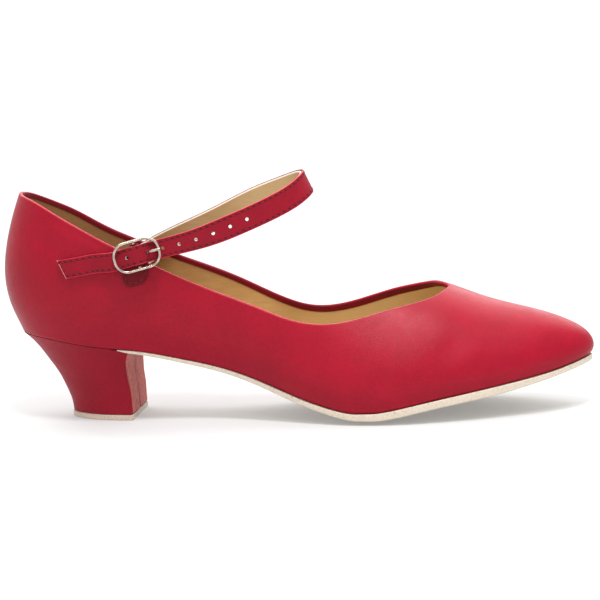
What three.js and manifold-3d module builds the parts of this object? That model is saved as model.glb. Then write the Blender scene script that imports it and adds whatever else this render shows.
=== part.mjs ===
// Character shoe for the right foot: a closed court shoe with a low covered heel and an instep strap.
// Millimetres, +Z up, toe towards +X, outer side towards -Y, floor at Z = 0.
// The surfaces are worked out along the last from its back (X = 0), and the group then shifts them so
// that the origin is the centre of the heel's ground contact.

import * as THREE from 'three';
import { mergeVertices } from 'three/addons/utils/BufferGeometryUtils.js';
import Module from 'manifold-3d';

const wasm = await Module();
wasm.setup();

// Sizes of the last
const SHOE_LENGTH = 250;
const BALL_WIDTH = 74;
const HEEL_RISE = 34.6;
const TOE_SPRING = 19;
const TOE_SWING = 6;
const CROSS_RISE = 2;
const CONE_HEIGHT = 138;
const BACK_HEIGHT = 97.6;
const SEAT_INSET = 4.4;
const TOE_INSET = 1.6;
const THROAT_AT = 189.5;

// Sizes of the leather parts
const WALL = 1.9;
const MARGIN_WIDTH = 7;
const MARGIN_THICKNESS = 1.2;
const FEATHER_RADIUS = 1;
const SOLE_THICKNESS = 3.3;
const TREAD_FLAT = 0.3;
const SOLE_EDGE = 0.7;
const INSOLE_THICKNESS = 1.8;
const GAP = 0.3;

// Sizes of the heel and its top piece
const HEEL_BACK_AT = 24.5;
const HEEL_BREAST_AT = 53.4;
const HEEL_TIP_WIDTH = 34;
const HEEL_CORNER = 1.4;
const SEAT_FRONT_AT = 54;
const SOLE_LAP = 3.4;
const TOP_PIECE_THICKNESS = 2.3;
const TOP_PIECE_LEDGE = 0.25;

// Sizes of the strap, its buckle and its tab
const STRAP_WIDTH = 9.9;
const STRAP_TIP_WIDTH = 8.3;
const STRAP_THICKNESS = 1.8;
const STRAP_REACH = 70;
const STRAP_TAIL = 33;
const STRAP_SLANT = 2.9;
const STRAP_ROOT_DEPTH = 13;
const STRAP_FAR_LIFT = 3.6;
const STRAP_NEAR_DROP = 2.4;
const HOLE_PITCH = 7.6;
const HOLE_START = 4.4;
const HUMP_SPARE = 1;
const HOLE_COUNT = 8;
const HOLE_RADIUS = 0.75;
const PRONG_HOLE_INDEX = 1;
const BUCKLE_AT = 60.5;
const BUCKLE_LEVEL = 72.8;
const BUCKLE_LENGTH = 20.5;
const BUCKLE_WIDTH = 13.5;
const BUCKLE_CORNER = 6;
const BUCKLE_BAND = 1.05;
const BUCKLE_DEPTH = 2.4;
const BUCKLE_TILT = 14.5;
const BAR_RADIUS = 0.7;
const PRONG_RADIUS = 0.6;
const TAB_WIDTH = 11.2;
const TAB_LENGTH = 16;
const TAB_THICKNESS = 1.2;
const SLEEVE_THICKNESS = 0.9;
const SLEEVE_LENGTH = 3.4;
const EYE_WIRE_RADIUS = 0.5;

// Smallest numbers that the meshes tell apart, and how often a search is refined
const WELD = 1e-4;
const STEP = 1e-3;
const HALVINGS = 40;
const FACE_STEPS = 60;
const FACE_EASE = 0.7;

// Names each column of a table, so that a spline can be laid through any of them
function table(names, rows) {
  const columns = {};
  names.forEach((name, index) => {
    columns[name] = rows.map((row) => row[index]);
  });
  return columns;
}

// Natural cubic spline: the second slopes at the knots solve a three-band system
function spline(knots, values) {
  const last = knots.length - 1;
  const bend = new Array(last + 1).fill(0);
  const carry = new Array(last + 1).fill(0);
  for (let i = 1; i < last; i += 1) {
    const before = knots[i] - knots[i - 1];
    const after = knots[i + 1] - knots[i];
    const share = before / (before + after);
    const pivot = share * bend[i - 1] + 2;
    const kink = (values[i + 1] - values[i]) / after - (values[i] - values[i - 1]) / before;
    bend[i] = (share - 1) / pivot;
    carry[i] = ((6 * kink) / (before + after) - share * carry[i - 1]) / pivot;
  }
  for (let i = last - 1; i >= 0; i -= 1) {
    bend[i] = bend[i] * bend[i + 1] + carry[i];
  }
  bend[last] = 0;
  return (at) => {
    let i = 0;
    while (i < last - 1 && at > knots[i + 1]) {
      i += 1;
    }
    const span = knots[i + 1] - knots[i];
    const b = Math.min(Math.max((at - knots[i]) / span, 0), 1);
    const a = 1 - b;
    const arch = ((a ** 3 - a) * bend[i] + (b ** 3 - b) * bend[i + 1]) * (span ** 2 / 6);
    return a * values[i] + b * values[i + 1] + arch;
  };
}

function mix(from, to, share) {
  return from + (to - from) * share;
}

function clamp01(value) {
  return Math.min(Math.max(value, 0), 1);
}

function smoothStep(from, to, at) {
  const share = clamp01((at - from) / (to - from));
  return share * share * (3 - 2 * share);
}

// Outline of the last's bottom edge: half widths are shares of the ball width, measured from the axis
const OUTLINE = table(['along', 'outer', 'inner'], [
  [0.000, 0.000, 0.000],
  [0.031, 0.209, 0.207],
  [0.105, 0.322, 0.318],
  [0.207, 0.327, 0.308],
  [0.330, 0.281, 0.243],
  [0.453, 0.342, 0.295],
  [0.576, 0.474, 0.420],
  [0.679, 0.509, 0.480],
  [0.781, 0.451, 0.438],
  [0.884, 0.323, 0.307],
  [0.960, 0.180, 0.160],
  [1.000, 0.000, 0.000],
]);

// Height of the last's bottom along the shoe: shares of the heel rise, toe spring and cross rise
const BED = table(['along', 'heel', 'spring', 'cross'], [
  [0.000, 1.000, 0.000, 0.00],
  [0.068, 0.974, 0.000, 0.00],
  [0.120, 0.919, 0.000, 0.00],
  [0.168, 0.867, 0.000, 0.00],
  [0.236, 0.809, 0.000, 0.00],
  [0.304, 0.702, 0.000, 0.00],
  [0.372, 0.583, 0.000, 0.05],
  [0.442, 0.416, 0.000, 0.20],
  [0.514, 0.203, 0.000, 0.60],
  [0.560, 0.085, 0.000, 0.85],
  [0.600, 0.008, 0.000, 1.00],
  [0.650, 0.000, 0.012, 1.00],
  [0.690, 0.000, 0.105, 1.00],
  [0.752, 0.000, 0.282, 1.00],
  [0.820, 0.000, 0.463, 0.95],
  [0.884, 0.000, 0.626, 0.90],
  [0.947, 0.000, 0.805, 0.80],
  [1.000, 0.000, 1.020, 0.60],
]);

// Sole seen from the side: shares of the sole thickness
const SOLE = table(['along', 'thickness'], [
  [0.160, 0.120],
  [0.230, 0.330],
  [0.310, 0.430],
  [0.416, 0.560],
  [0.500, 0.660],
  [0.586, 0.780],
  [0.630, 0.900],
  [0.670, 0.980],
  [0.760, 0.990],
  [0.843, 1.000],
  [0.890, 0.880],
  [0.930, 0.730],
  [1.000, 0.670],
]);

// Crown line of the last, which the vamp follows ahead of the throat: shares of the cone height
const CROWN = table(['along', 'height'], [
  [-0.02, 1.000],
  [0.100, 0.995],
  [0.300, 0.855],
  [0.400, 0.725],
  [0.500, 0.594],
  [0.600, 0.489],
  [0.680, 0.428],
  [0.758, 0.386],
  [0.808, 0.351],
  [0.860, 0.323],
  [0.920, 0.300],
  [1.020, 0.264],
]);

// Cross sections: how square the shoulder is, how far the sides swell (shares of the ball width), and
// the share of the section's height where they swell most
const SECTIONS = table(['along', 'shoulder', 'outer', 'inner', 'level'], [
  [0.00, 2.60, 0.103, 0.103, 0.30],
  [0.15, 2.60, 0.076, 0.076, 0.30],
  [0.33, 2.50, 0.062, 0.080, 0.28],
  [0.50, 2.35, 0.054, 0.060, 0.25],
  [0.63, 2.20, 0.035, 0.035, 0.22],
  [0.78, 2.15, 0.030, 0.030, 0.25],
  [0.90, 2.65, 0.025, 0.025, 0.28],
  [1.00, 4.20, 0.022, 0.022, 0.30],
]);

// Top line seen from the side: shares of the back height
const TOP_LINE = table(['along', 'outer', 'inner'], [
  [0.020, 1.004, 1.004],
  [0.056, 0.984, 0.943],
  [0.096, 0.938, 0.884],
  [0.144, 0.873, 0.808],
  [0.192, 0.805, 0.750],
  [0.240, 0.742, 0.703],
  [0.312, 0.646, 0.641],
  [0.380, 0.572, 0.573],
  [0.448, 0.507, 0.484],
  [0.500, 0.460, 0.433],
  [0.548, 0.440, 0.430],
  [0.600, 0.449, 0.462],
  [0.652, 0.479, 0.504],
  [0.712, 0.509, 0.544],
  [0.740, 0.526, 0.556],
  [0.758, 0.546, 0.546],
]);

const OUTER = -1;
const INNER = 1;
const FEATHER_LENGTH = SHOE_LENGTH - SEAT_INSET - TOE_INSET;
const BED_SPLINES = {
  heel: spline(BED.along, BED.heel),
  spring: spline(BED.along, BED.spring),
  cross: spline(BED.along, BED.cross),
};
const turnOf = (share) => Math.acos(1 - 2 * share) / Math.PI;
const OUTLINE_TURNS = OUTLINE.along.map(turnOf);
const HALF_WIDTH = {
  [OUTER]: spline(OUTLINE_TURNS, OUTLINE.outer),
  [INNER]: spline(OUTLINE_TURNS, OUTLINE.inner),
};
const CROWN_SPLINE = spline(CROWN.along, CROWN.height);
const SHOULDER = spline(SECTIONS.along, SECTIONS.shoulder);
const SWELL = {
  [OUTER]: spline(SECTIONS.along, SECTIONS.outer),
  [INNER]: spline(SECTIONS.along, SECTIONS.inner),
};
const SWELL_LEVEL = spline(SECTIONS.along, SECTIONS.level);
const TOP_LINE_SPLINE = {
  [OUTER]: spline(TOP_LINE.along, TOP_LINE.outer),
  [INNER]: spline(TOP_LINE.along, TOP_LINE.inner),
};

// Share of the feather length at a turn: 0 at the back, 1 at the toe, closely spaced at both ends
function shareAt(turn) {
  return (1 - Math.cos(Math.PI * turn)) / 2;
}

function featherX(turn) {
  return SEAT_INSET + shareAt(turn) * FEATHER_LENGTH;
}

function turnAtX(x) {
  return turnOf(clamp01((x - SEAT_INSET) / FEATHER_LENGTH));
}

// The axis swings towards the inner side at the toe
const SWING_START = 0.44 * SHOE_LENGTH;
const SWING_POWER = 1.7;

function axisY(x) {
  return TOE_SWING * Math.max(0, (x - SWING_START) / (SHOE_LENGTH - SWING_START)) ** SWING_POWER;
}

// The bottom is flat in the middle of the ball and rises towards its edges
const CROSS_POWER = 3;

function bedZ(x, y) {
  const share = x / SHOE_LENGTH;
  const across = Math.abs(y - axisY(x)) / (BALL_WIDTH / 2);
  return SOLE_THICKNESS - TREAD_FLAT
    + HEEL_RISE * Math.max(0, BED_SPLINES.heel(share))
    + TOE_SPRING * Math.max(0, BED_SPLINES.spring(share))
    + CROSS_RISE * Math.max(0, BED_SPLINES.cross(share)) * across ** CROSS_POWER;
}

function featherPoint(side, turn) {
  const x = featherX(turn);
  return new THREE.Vector3(x, axisY(x) + side * BALL_WIDTH * HALF_WIDTH[side](turn), 0);
}

// The sections fan out from a hub behind at the heel and ahead at the toe, and run straight between
const HEEL_HUB_AT = 0.18 * SHOE_LENGTH;
const HEEL_FAN_END = 0.28 * SHOE_LENGTH;
const TOE_HUB_AT = 0.86 * SHOE_LENGTH;
const TOE_FAN_START = THROAT_AT + GAP;

function hubX(x) {
  const toeEnd = SHOE_LENGTH - TOE_INSET;
  if (x < HEEL_FAN_END) {
    const power = (HEEL_FAN_END - SEAT_INSET) / (HEEL_FAN_END - HEEL_HUB_AT);
    return mix(HEEL_HUB_AT, HEEL_FAN_END, ((x - SEAT_INSET) / (HEEL_FAN_END - SEAT_INSET)) ** power);
  }
  if (x > TOE_FAN_START) {
    const power = (toeEnd - TOE_FAN_START) / (TOE_HUB_AT - TOE_FAN_START);
    const left = Math.max(0, (toeEnd - x) / (toeEnd - TOE_FAN_START)) ** power;
    return mix(TOE_HUB_AT, TOE_FAN_START, left < STEP ? 0 : left);
  }
  return x;
}

// Point on the outer face of the last: rise 0 is the bottom edge and rise 1 the crown line
const SWELL_POWER = 1.4;

function lastPoint(side, turn, rise) {
  const share = shareAt(turn);
  const foot = featherPoint(side, turn);
  const hub = hubX(foot.x);
  const hubY = axisY(hub);
  const reach = Math.hypot(foot.x - hub, foot.y - hubY);
  const lean = rise / SWELL_LEVEL(share);
  const swell = BALL_WIDTH * SWELL[side](share) * (lean * Math.exp(1 - lean)) ** SWELL_POWER;
  const draw = Math.sqrt(Math.max(0, 1 - rise ** SHOULDER(share))) * (1 + swell / reach);
  const x = mix(hub, foot.x, draw);
  const y = mix(hubY, foot.y, draw);
  const base = bedZ(foot.x, foot.y);
  return new THREE.Vector3(x, y, mix(base, CONE_HEIGHT * CROWN_SPLINE(x / SHOE_LENGTH), rise));
}

function lastNormal(side, turn, rise) {
  if (rise > 1 - STEP) {
    const x = hubX(featherX(turn));
    const before = CROWN_SPLINE((x - 1) / SHOE_LENGTH);
    const after = CROWN_SPLINE((x + 1) / SHOE_LENGTH);
    return new THREE.Vector3((CONE_HEIGHT * (before - after)) / 2, 0, 1).normalize();
  }
  const ends = [Math.max(turn - STEP, 0), Math.min(turn + STEP, 1)];
  const levels = [Math.max(rise - STEP, 0), Math.min(rise + STEP, 1 - STEP / 2)];
  const along = lastPoint(side, ends[1], rise).sub(lastPoint(side, ends[0], rise));
  const up = lastPoint(side, turn, levels[1]).sub(lastPoint(side, turn, levels[0]));
  if (turn < STEP || turn > 1 - STEP) {
    along.set(0, 1, 0);
    const outward = turn < STEP ? -1 : 1;
    return along.cross(up).normalize().multiplyScalar(outward);
  }
  return along.cross(up).normalize().multiplyScalar(-side);
}

function topLineZ(side, x) {
  return BACK_HEIGHT * TOP_LINE_SPLINE[side](x / SHOE_LENGTH);
}

// Highest rise of a section: the top line cuts it behind the throat, and it meets the crown ahead
function topRise(side, turn) {
  if (hubX(featherX(turn)) >= THROAT_AT - WELD) {
    return 1;
  }
  let low = 0;
  let high = 1;
  for (let i = 0; i < HALVINGS; i += 1) {
    const middle = (low + high) / 2;
    const point = lastPoint(side, turn, middle);
    if (point.z > topLineZ(side, point.x)) {
      high = middle;
    } else {
      low = middle;
    }
  }
  return low;
}

// Drops the triangles that welding has flattened
function withoutSlivers(geometry) {
  const index = geometry.getIndex().array;
  const kept = [];
  for (let i = 0; i < index.length; i += 3) {
    const [a, b, c] = [index[i], index[i + 1], index[i + 2]];
    if (a !== b && b !== c && c !== a) {
      kept.push(a, b, c);
    }
  }
  geometry.setIndex(kept);
  return geometry;
}

// Meshes from closed rings, joined one to the next
function solidFromTriangles(points, triangles) {
  const positions = new Float32Array(points.length * 3);
  points.forEach((point, index) => point.toArray(positions, index * 3));
  const geometry = new THREE.BufferGeometry();
  geometry.setAttribute('position', new THREE.BufferAttribute(positions, 3));
  geometry.setIndex(triangles.flat());
  return faceOutward(withoutSlivers(mergeVertices(geometry, WELD)));
}

function signedVolume(geometry) {
  const position = geometry.getAttribute('position');
  const index = geometry.getIndex().array;
  const corners = [new THREE.Vector3(), new THREE.Vector3(), new THREE.Vector3()];
  let total = 0;
  for (let i = 0; i < index.length; i += 3) {
    corners.forEach((corner, k) => corner.fromBufferAttribute(position, index[i + k]));
    total += corners[0].dot(corners[1].clone().cross(corners[2])) / 6;
  }
  return total;
}

function faceOutward(geometry) {
  if (signedVolume(geometry) < 0) {
    const index = geometry.getIndex().array;
    for (let i = 0; i < index.length; i += 3) {
      [index[i], index[i + 1]] = [index[i + 1], index[i]];
    }
  }
  return geometry;
}

// Splits a four-cornered patch along its shorter diagonal
function splitPatch(points, a, b, c, d) {
  const first = points[a].distanceToSquared(points[c]);
  const second = points[b].distanceToSquared(points[d]);
  return first <= second ? [[a, b, c], [a, c, d]] : [[a, b, d], [b, c, d]];
}

// Skins a row of rings with equally many points: closed rings give a bar, capped at both ends
function skinRings(rings, capped) {
  const count = rings[0].length;
  const points = rings.flat();
  const triangles = [];
  for (let i = 0; i + 1 < rings.length; i += 1) {
    for (let k = 0; k < count; k += 1) {
      const next = (k + 1) % count;
      const a = i * count + k;
      const b = i * count + next;
      triangles.push(...splitPatch(points, a, b, b + count, a + count));
    }
  }
  if (capped) {
    // each cap is a ladder between the two halves of the ring
    for (const [start, flip] of [[0, true], [(rings.length - 1) * count, false]]) {
      for (let k = 0; k < count / 2 - 1; k += 1) {
        const a = start + k;
        const b = start + k + 1;
        const c = start + count - 1 - k;
        const d = start + count - 2 - k;
        const ladder = [[a, b, c], [b, d, c]];
        ladder.forEach((face) => triangles.push(flip ? [face[1], face[0], face[2]] : face));
      }
    }
  }
  return solidFromTriangles(points, triangles);
}

// Upper: one wall from the lasting margin under the foot, over the feather edge, up to the top line
const OPEN_COLUMNS = 29;
const VAMP_COLUMNS = 10;
const OUTER_ROWS = 12;
const INNER_ROWS = 8;

function marginPoint(side, turn, inset, lift) {
  const foot = featherPoint(side, turn);
  const hub = hubX(foot.x);
  const centre = new THREE.Vector3(hub, axisY(hub), 0);
  const point = foot.clone().add(centre.sub(foot).setLength(inset));
  point.z = bedZ(point.x, point.y) + lift;
  return point;
}

function upperColumn(side, turn) {
  const foot = featherPoint(side, turn);
  const height = CONE_HEIGHT * CROWN_SPLINE(foot.x / SHOE_LENGTH) - bedZ(foot.x, foot.y);
  const top = Math.asin(topRise(side, turn));
  const outerStart = Math.asin(FEATHER_RADIUS / height);
  const innerStart = Math.asin((MARGIN_THICKNESS + WALL) / height);
  const column = [
    marginPoint(side, turn, MARGIN_WIDTH, 0),
    marginPoint(side, turn, FEATHER_RADIUS, 0),
  ];
  for (let row = 0; row <= OUTER_ROWS; row += 1) {
    const rise = Math.sin(mix(outerStart, top, row / OUTER_ROWS));
    column.push(lastPoint(side, turn, rise));
  }
  for (let row = INNER_ROWS; row >= 0; row -= 1) {
    const rise = Math.sin(mix(innerStart, top, row / INNER_ROWS));
    const point = lastPoint(side, turn, rise);
    column.push(point.addScaledVector(lastNormal(side, turn, rise), -WALL));
  }
  column.push(marginPoint(side, turn, WALL + FEATHER_RADIUS, MARGIN_THICKNESS));
  column.push(marginPoint(side, turn, MARGIN_WIDTH, MARGIN_THICKNESS));
  return column;
}

function columnTurns() {
  const throatTurn = turnAtX(THROAT_AT);
  const turns = [];
  for (let i = 0; i < OPEN_COLUMNS; i += 1) {
    turns.push(throatTurn * (1 - (1 - i / OPEN_COLUMNS) ** 2));
  }
  for (let i = 0; i <= VAMP_COLUMNS; i += 1) {
    turns.push(mix(throatTurn, 1, i / VAMP_COLUMNS));
  }
  return turns;
}

function upperGeometry() {
  const turns = columnTurns();
  const tip = turns.length - 1;
  const columns = turns.map((turn) => upperColumn(OUTER, turn));
  for (let i = tip - 1; i > 0; i -= 1) {
    columns.push(upperColumn(INNER, turns[i]));
  }
  const rimRow = 2 + OUTER_ROWS;
  const count = columns[0].length;
  const points = columns.flat();
  const triangles = [];
  columns.forEach((column, i) => {
    const next = (i + 1) % columns.length;
    const middle = (i + 0.5 > columns.length / 2 ? columns.length - i - 0.5 : i + 0.5);
    const closed = middle > OPEN_COLUMNS;
    for (let k = 0; k < count; k += 1) {
      if (closed && k === rimRow) {
        continue;
      }
      const a = i * count + k;
      const b = i * count + ((k + 1) % count);
      const c = next * count + ((k + 1) % count);
      const d = next * count + k;
      triangles.push(...splitPatch(points, a, b, c, d));
    }
  });
  return solidFromTriangles(points, triangles);
}

// Flat pieces under the foot are strips across the shoe, from the outer side to the inner one
const ACROSS = 6;

function outlinePoint(side, turn, spread) {
  const point = featherPoint(side, turn);
  if (turn > 1 - STEP) {
    return point.add(new THREE.Vector3(spread, 0, 0));
  }
  if (turn < STEP) {
    return point.add(new THREE.Vector3(-spread, 0, 0));
  }
  const ahead = featherPoint(side, turn + STEP).sub(featherPoint(side, turn - STEP));
  return point.addScaledVector(new THREE.Vector3(ahead.y, -ahead.x, 0).normalize(), -side * spread);
}

function plateGeometry(turns, spreadAt, topAt, bottomAt) {
  const rings = turns.map((turn) => {
    const spread = spreadAt(featherX(turn));
    const ends = [OUTER, INNER].map((side) => outlinePoint(side, turn, spread));
    const upper = [];
    const lower = [];
    for (let k = 0; k <= ACROSS; k += 1) {
      const place = ends[0].clone().lerp(ends[1], k / ACROSS);
      upper.push(new THREE.Vector3(place.x, place.y, topAt(place.x, place.y)));
      lower.push(new THREE.Vector3(place.x, place.y, bottomAt(place.x, place.y)));
    }
    return [...upper, ...lower.reverse()];
  });
  return skinRings(rings, true);
}

const SOLE_TAIL_AT = SEAT_FRONT_AT - SOLE_LAP;
const SOLE_STATIONS = 40;
const SOLE_SPLINE = spline(SOLE.along, SOLE.thickness);

function soleThickness(x) {
  return SOLE_THICKNESS * SOLE_SPLINE(x / SHOE_LENGTH);
}

function soleGeometry() {
  const start = turnAtX(SOLE_TAIL_AT);
  const turns = [];
  for (let i = 0; i <= SOLE_STATIONS; i += 1) {
    turns.push(mix(start, 1, i / SOLE_STATIONS));
  }
  const top = (x, y) => bedZ(x, y) - GAP;
  const bottom = (x, y) => Math.max(0, bedZ(x, y) - GAP - soleThickness(x));
  const spread = (x) => SOLE_EDGE * smoothStep(0.2, 0.5, x / SHOE_LENGTH);
  return plateGeometry(turns, spread, top, bottom);
}

function insoleGeometry() {
  const turns = [];
  for (let i = 0; i <= SOLE_STATIONS; i += 1) {
    turns.push(i / SOLE_STATIONS);
  }
  const bottom = (x, y) => bedZ(x, y) + MARGIN_THICKNESS + GAP;
  const top = (x, y) => bottom(x, y) + INSOLE_THICKNESS;
  return plateGeometry(turns, () => -(WALL + FEATHER_RADIUS + GAP), top, bottom);
}

// Heel block: rings from the top piece up to the seat, each a rounded back with a flat breast
const HEEL_RINGS = table(['level', 'back', 'breast'], [
  [0.00, 0.000, 0.000],
  [0.15, 0.040, 0.100],
  [0.31, 0.145, 0.170],
  [0.49, 0.290, 0.500],
  [0.67, 0.500, 0.650],
  [0.84, 0.715, 0.450],
  [0.94, 0.880, -0.05],
  [1.00, 1.000, -0.30],
]);
const HEEL_HOLLOW = 2;
const HEEL_ARC_POINTS = 9;
const HEEL_LEVELS = 9;
const TIP_ROUNDNESS = 0.55;
const HEEL_BASE = TOP_PIECE_THICKNESS + GAP;
const HEEL_BACK = spline(HEEL_RINGS.level, HEEL_RINGS.back);
const HEEL_BREAST = spline(HEEL_RINGS.level, HEEL_RINGS.breast);

function heelTopZ(x) {
  const lap = smoothStep(SOLE_TAIL_AT - 2 * GAP, SOLE_TAIL_AT - GAP, x);
  return bedZ(x, 0) - GAP - lap * (soleThickness(x) + GAP);
}

function heelSpan(level) {
  const seatBack = SEAT_INSET + 2 * GAP;
  const front = HEEL_BREAST_AT - HEEL_HOLLOW * HEEL_BREAST(level);
  return [mix(HEEL_BACK_AT, seatBack, HEEL_BACK(level)), front];
}

function heelHalf(side, share, level) {
  const tip = (HEEL_TIP_WIDTH / 2) * (1 - (1 - share) ** 2) ** TIP_ROUNDNESS;
  const [back, front] = heelSpan(1);
  const seat = BALL_WIDTH * HALF_WIDTH[side](turnAtX(mix(back, front, share))) - 2 * GAP;
  return mix(tip, share === 0 ? 0 : seat, level ** 2);
}

// Places along a ring: a rounded back, a step where the sole's tail is lapped in, and a cut corner
function heelShares() {
  const [back, front] = heelSpan(1);
  const lap = (SOLE_TAIL_AT - back) / (front - back);
  const lapStep = (2 * GAP) / (front - back);
  const corner = 1 - HEEL_CORNER / (front - back);
  const shares = [];
  for (let i = 0; i <= HEEL_ARC_POINTS; i += 1) {
    const share = 1 - Math.cos((Math.PI / 2) * (i / HEEL_ARC_POINTS));
    if (share < lap - 2 * lapStep) {
      shares.push(share);
    }
  }
  return [...shares, lap - lapStep, lap, mix(lap, corner, 0.5), corner, 1];
}

function heelGeometry() {
  const rings = [];
  for (let i = 0; i <= HEEL_LEVELS; i += 1) {
    const level = i / HEEL_LEVELS;
    const [back, front] = heelSpan(level);
    const shares = heelShares();
    const ring = [OUTER, INNER].map((side) => shares.map((share, k) => {
      const x = mix(back, front, share);
      const corner = k === shares.length - 1 ? HEEL_CORNER : 0;
      const y = side * (heelHalf(side, share, level) - corner);
      const seat = level === 1 ? heelTopZ(x) : bedZ(x, 0) - GAP;
      return new THREE.Vector3(x, y, mix(HEEL_BASE, seat, level));
    }));
    rings.push([...ring[0], ...ring[1].reverse()]);
  }
  return skinRings(rings, true);
}

function topPieceGeometry() {
  const [back, front] = heelSpan(0);
  const shares = heelShares();
  const ringAt = (z) => {
    const sides = [OUTER, INNER].map((side) => shares.map((share, k) => {
      const corner = k === shares.length - 1 ? HEEL_CORNER : 0;
      const half = heelHalf(side, share, 0) + TOP_PIECE_LEDGE - corner;
      return new THREE.Vector3(mix(back - TOP_PIECE_LEDGE, front + TOP_PIECE_LEDGE, share), side * half, z);
    }));
    return [...sides[0], ...sides[1].reverse()];
  };
  return skinRings([ringAt(0), ringAt(TOP_PIECE_THICKNESS)], true);
}

// Finds the point of the outer face at a side view place, with the face's normal there
function faceAt(side, x, z) {
  let turn = turnAtX(x);
  let rise = 0.5;
  for (let i = 0; i < FACE_STEPS; i += 1) {
    const point = lastPoint(side, turn, rise);
    const base = bedZ(point.x, point.y);
    rise += (FACE_EASE * (z - point.z)) / (CONE_HEIGHT - base);
    turn = turnAtX(featherX(turn) + FACE_EASE * (x - point.x));
  }
  return { point: lastPoint(side, turn, rise), normal: lastNormal(side, turn, rise) };
}

// Frame of the buckle: along the strap, up across it, and out from the quarter
function buckleFrame() {
  const { point, normal } = faceAt(OUTER, BUCKLE_AT, BUCKLE_LEVEL);
  const tilt = THREE.MathUtils.degToRad(BUCKLE_TILT);
  const run = new THREE.Vector3(Math.cos(tilt), 0, Math.sin(tilt));
  const along = run.addScaledVector(normal, -run.dot(normal)).normalize();
  const up = normal.clone().cross(along).negate();
  if (up.z < 0) {
    up.negate();
  }
  return { origin: point, along, up, out: normal };
}

function placeInFrame(frame, along, up, out) {
  return frame.origin.clone()
    .addScaledVector(frame.along, along)
    .addScaledVector(frame.up, up)
    .addScaledVector(frame.out, out);
}

function frameMatrix(frame) {
  const turn = new THREE.Matrix4().makeBasis(frame.along, frame.up, frame.along.clone().cross(frame.up));
  return turn.setPosition(frame.origin);
}

// Heights above the quarter, from the tab outwards
const TAB_TOP = GAP + TAB_THICKNESS;
const BAR_OUT = TAB_TOP + BAR_RADIUS + EYE_WIRE_RADIUS;
const SLEEVE_OUTER = BAR_RADIUS + GAP + SLEEVE_THICKNESS;
const STRAP_OVER_BAR = BAR_OUT + SLEEVE_OUTER + GAP + STRAP_THICKNESS / 2;
const FRAME_INNER_FACE = 5;
const STRAP_UNDER_FRAME = FRAME_INNER_FACE - GAP - STRAP_THICKNESS / 2;

function toManifold(source) {
  let geometry = source.clone();
  geometry.deleteAttribute('normal');
  geometry.deleteAttribute('uv');
  geometry = faceOutward(withoutSlivers(mergeVertices(geometry, WELD)));
  return new wasm.Manifold(new wasm.Mesh({
    numProp: 3,
    vertProperties: new Float32Array(geometry.getAttribute('position').array),
    triVerts: new Uint32Array(geometry.getIndex().array),
  }));
}

function fromManifold(solid) {
  const mesh = solid.getMesh();
  const geometry = new THREE.BufferGeometry();
  geometry.setAttribute('position', new THREE.BufferAttribute(new Float32Array(mesh.vertProperties), 3));
  geometry.setIndex(Array.from(mesh.triVerts));
  return geometry;
}

// Strap: from the root inside the inner quarter, round the loop over the instep, through the buckle
const TAIL_PLACES = [-1, -0.72, -0.5];
const TAIL_SLOPE = 0.155;
const BUCKLE_PLACES = [-0.5, -0.34, 0, 0.34, 0.5];
const LOOP_POINTS = 9;
const LOOP_SQUARENESS = 2.4;
const LOOP_START = 0.35 * STRAP_REACH;
const LOOP_END_SLOPE = 0.45;
const LOOP_LIFT_FROM = 0.25;
const LOOP_LIFT_TO = 0.75;
const LOOP_DROP_FROM = -0.15;
const LOOP_DROP_TO = 0.55;
const ROOT_DROP = 3.5;
const ROOT_RUN = new THREE.Vector3(0.85, 0, 0.5);

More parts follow.
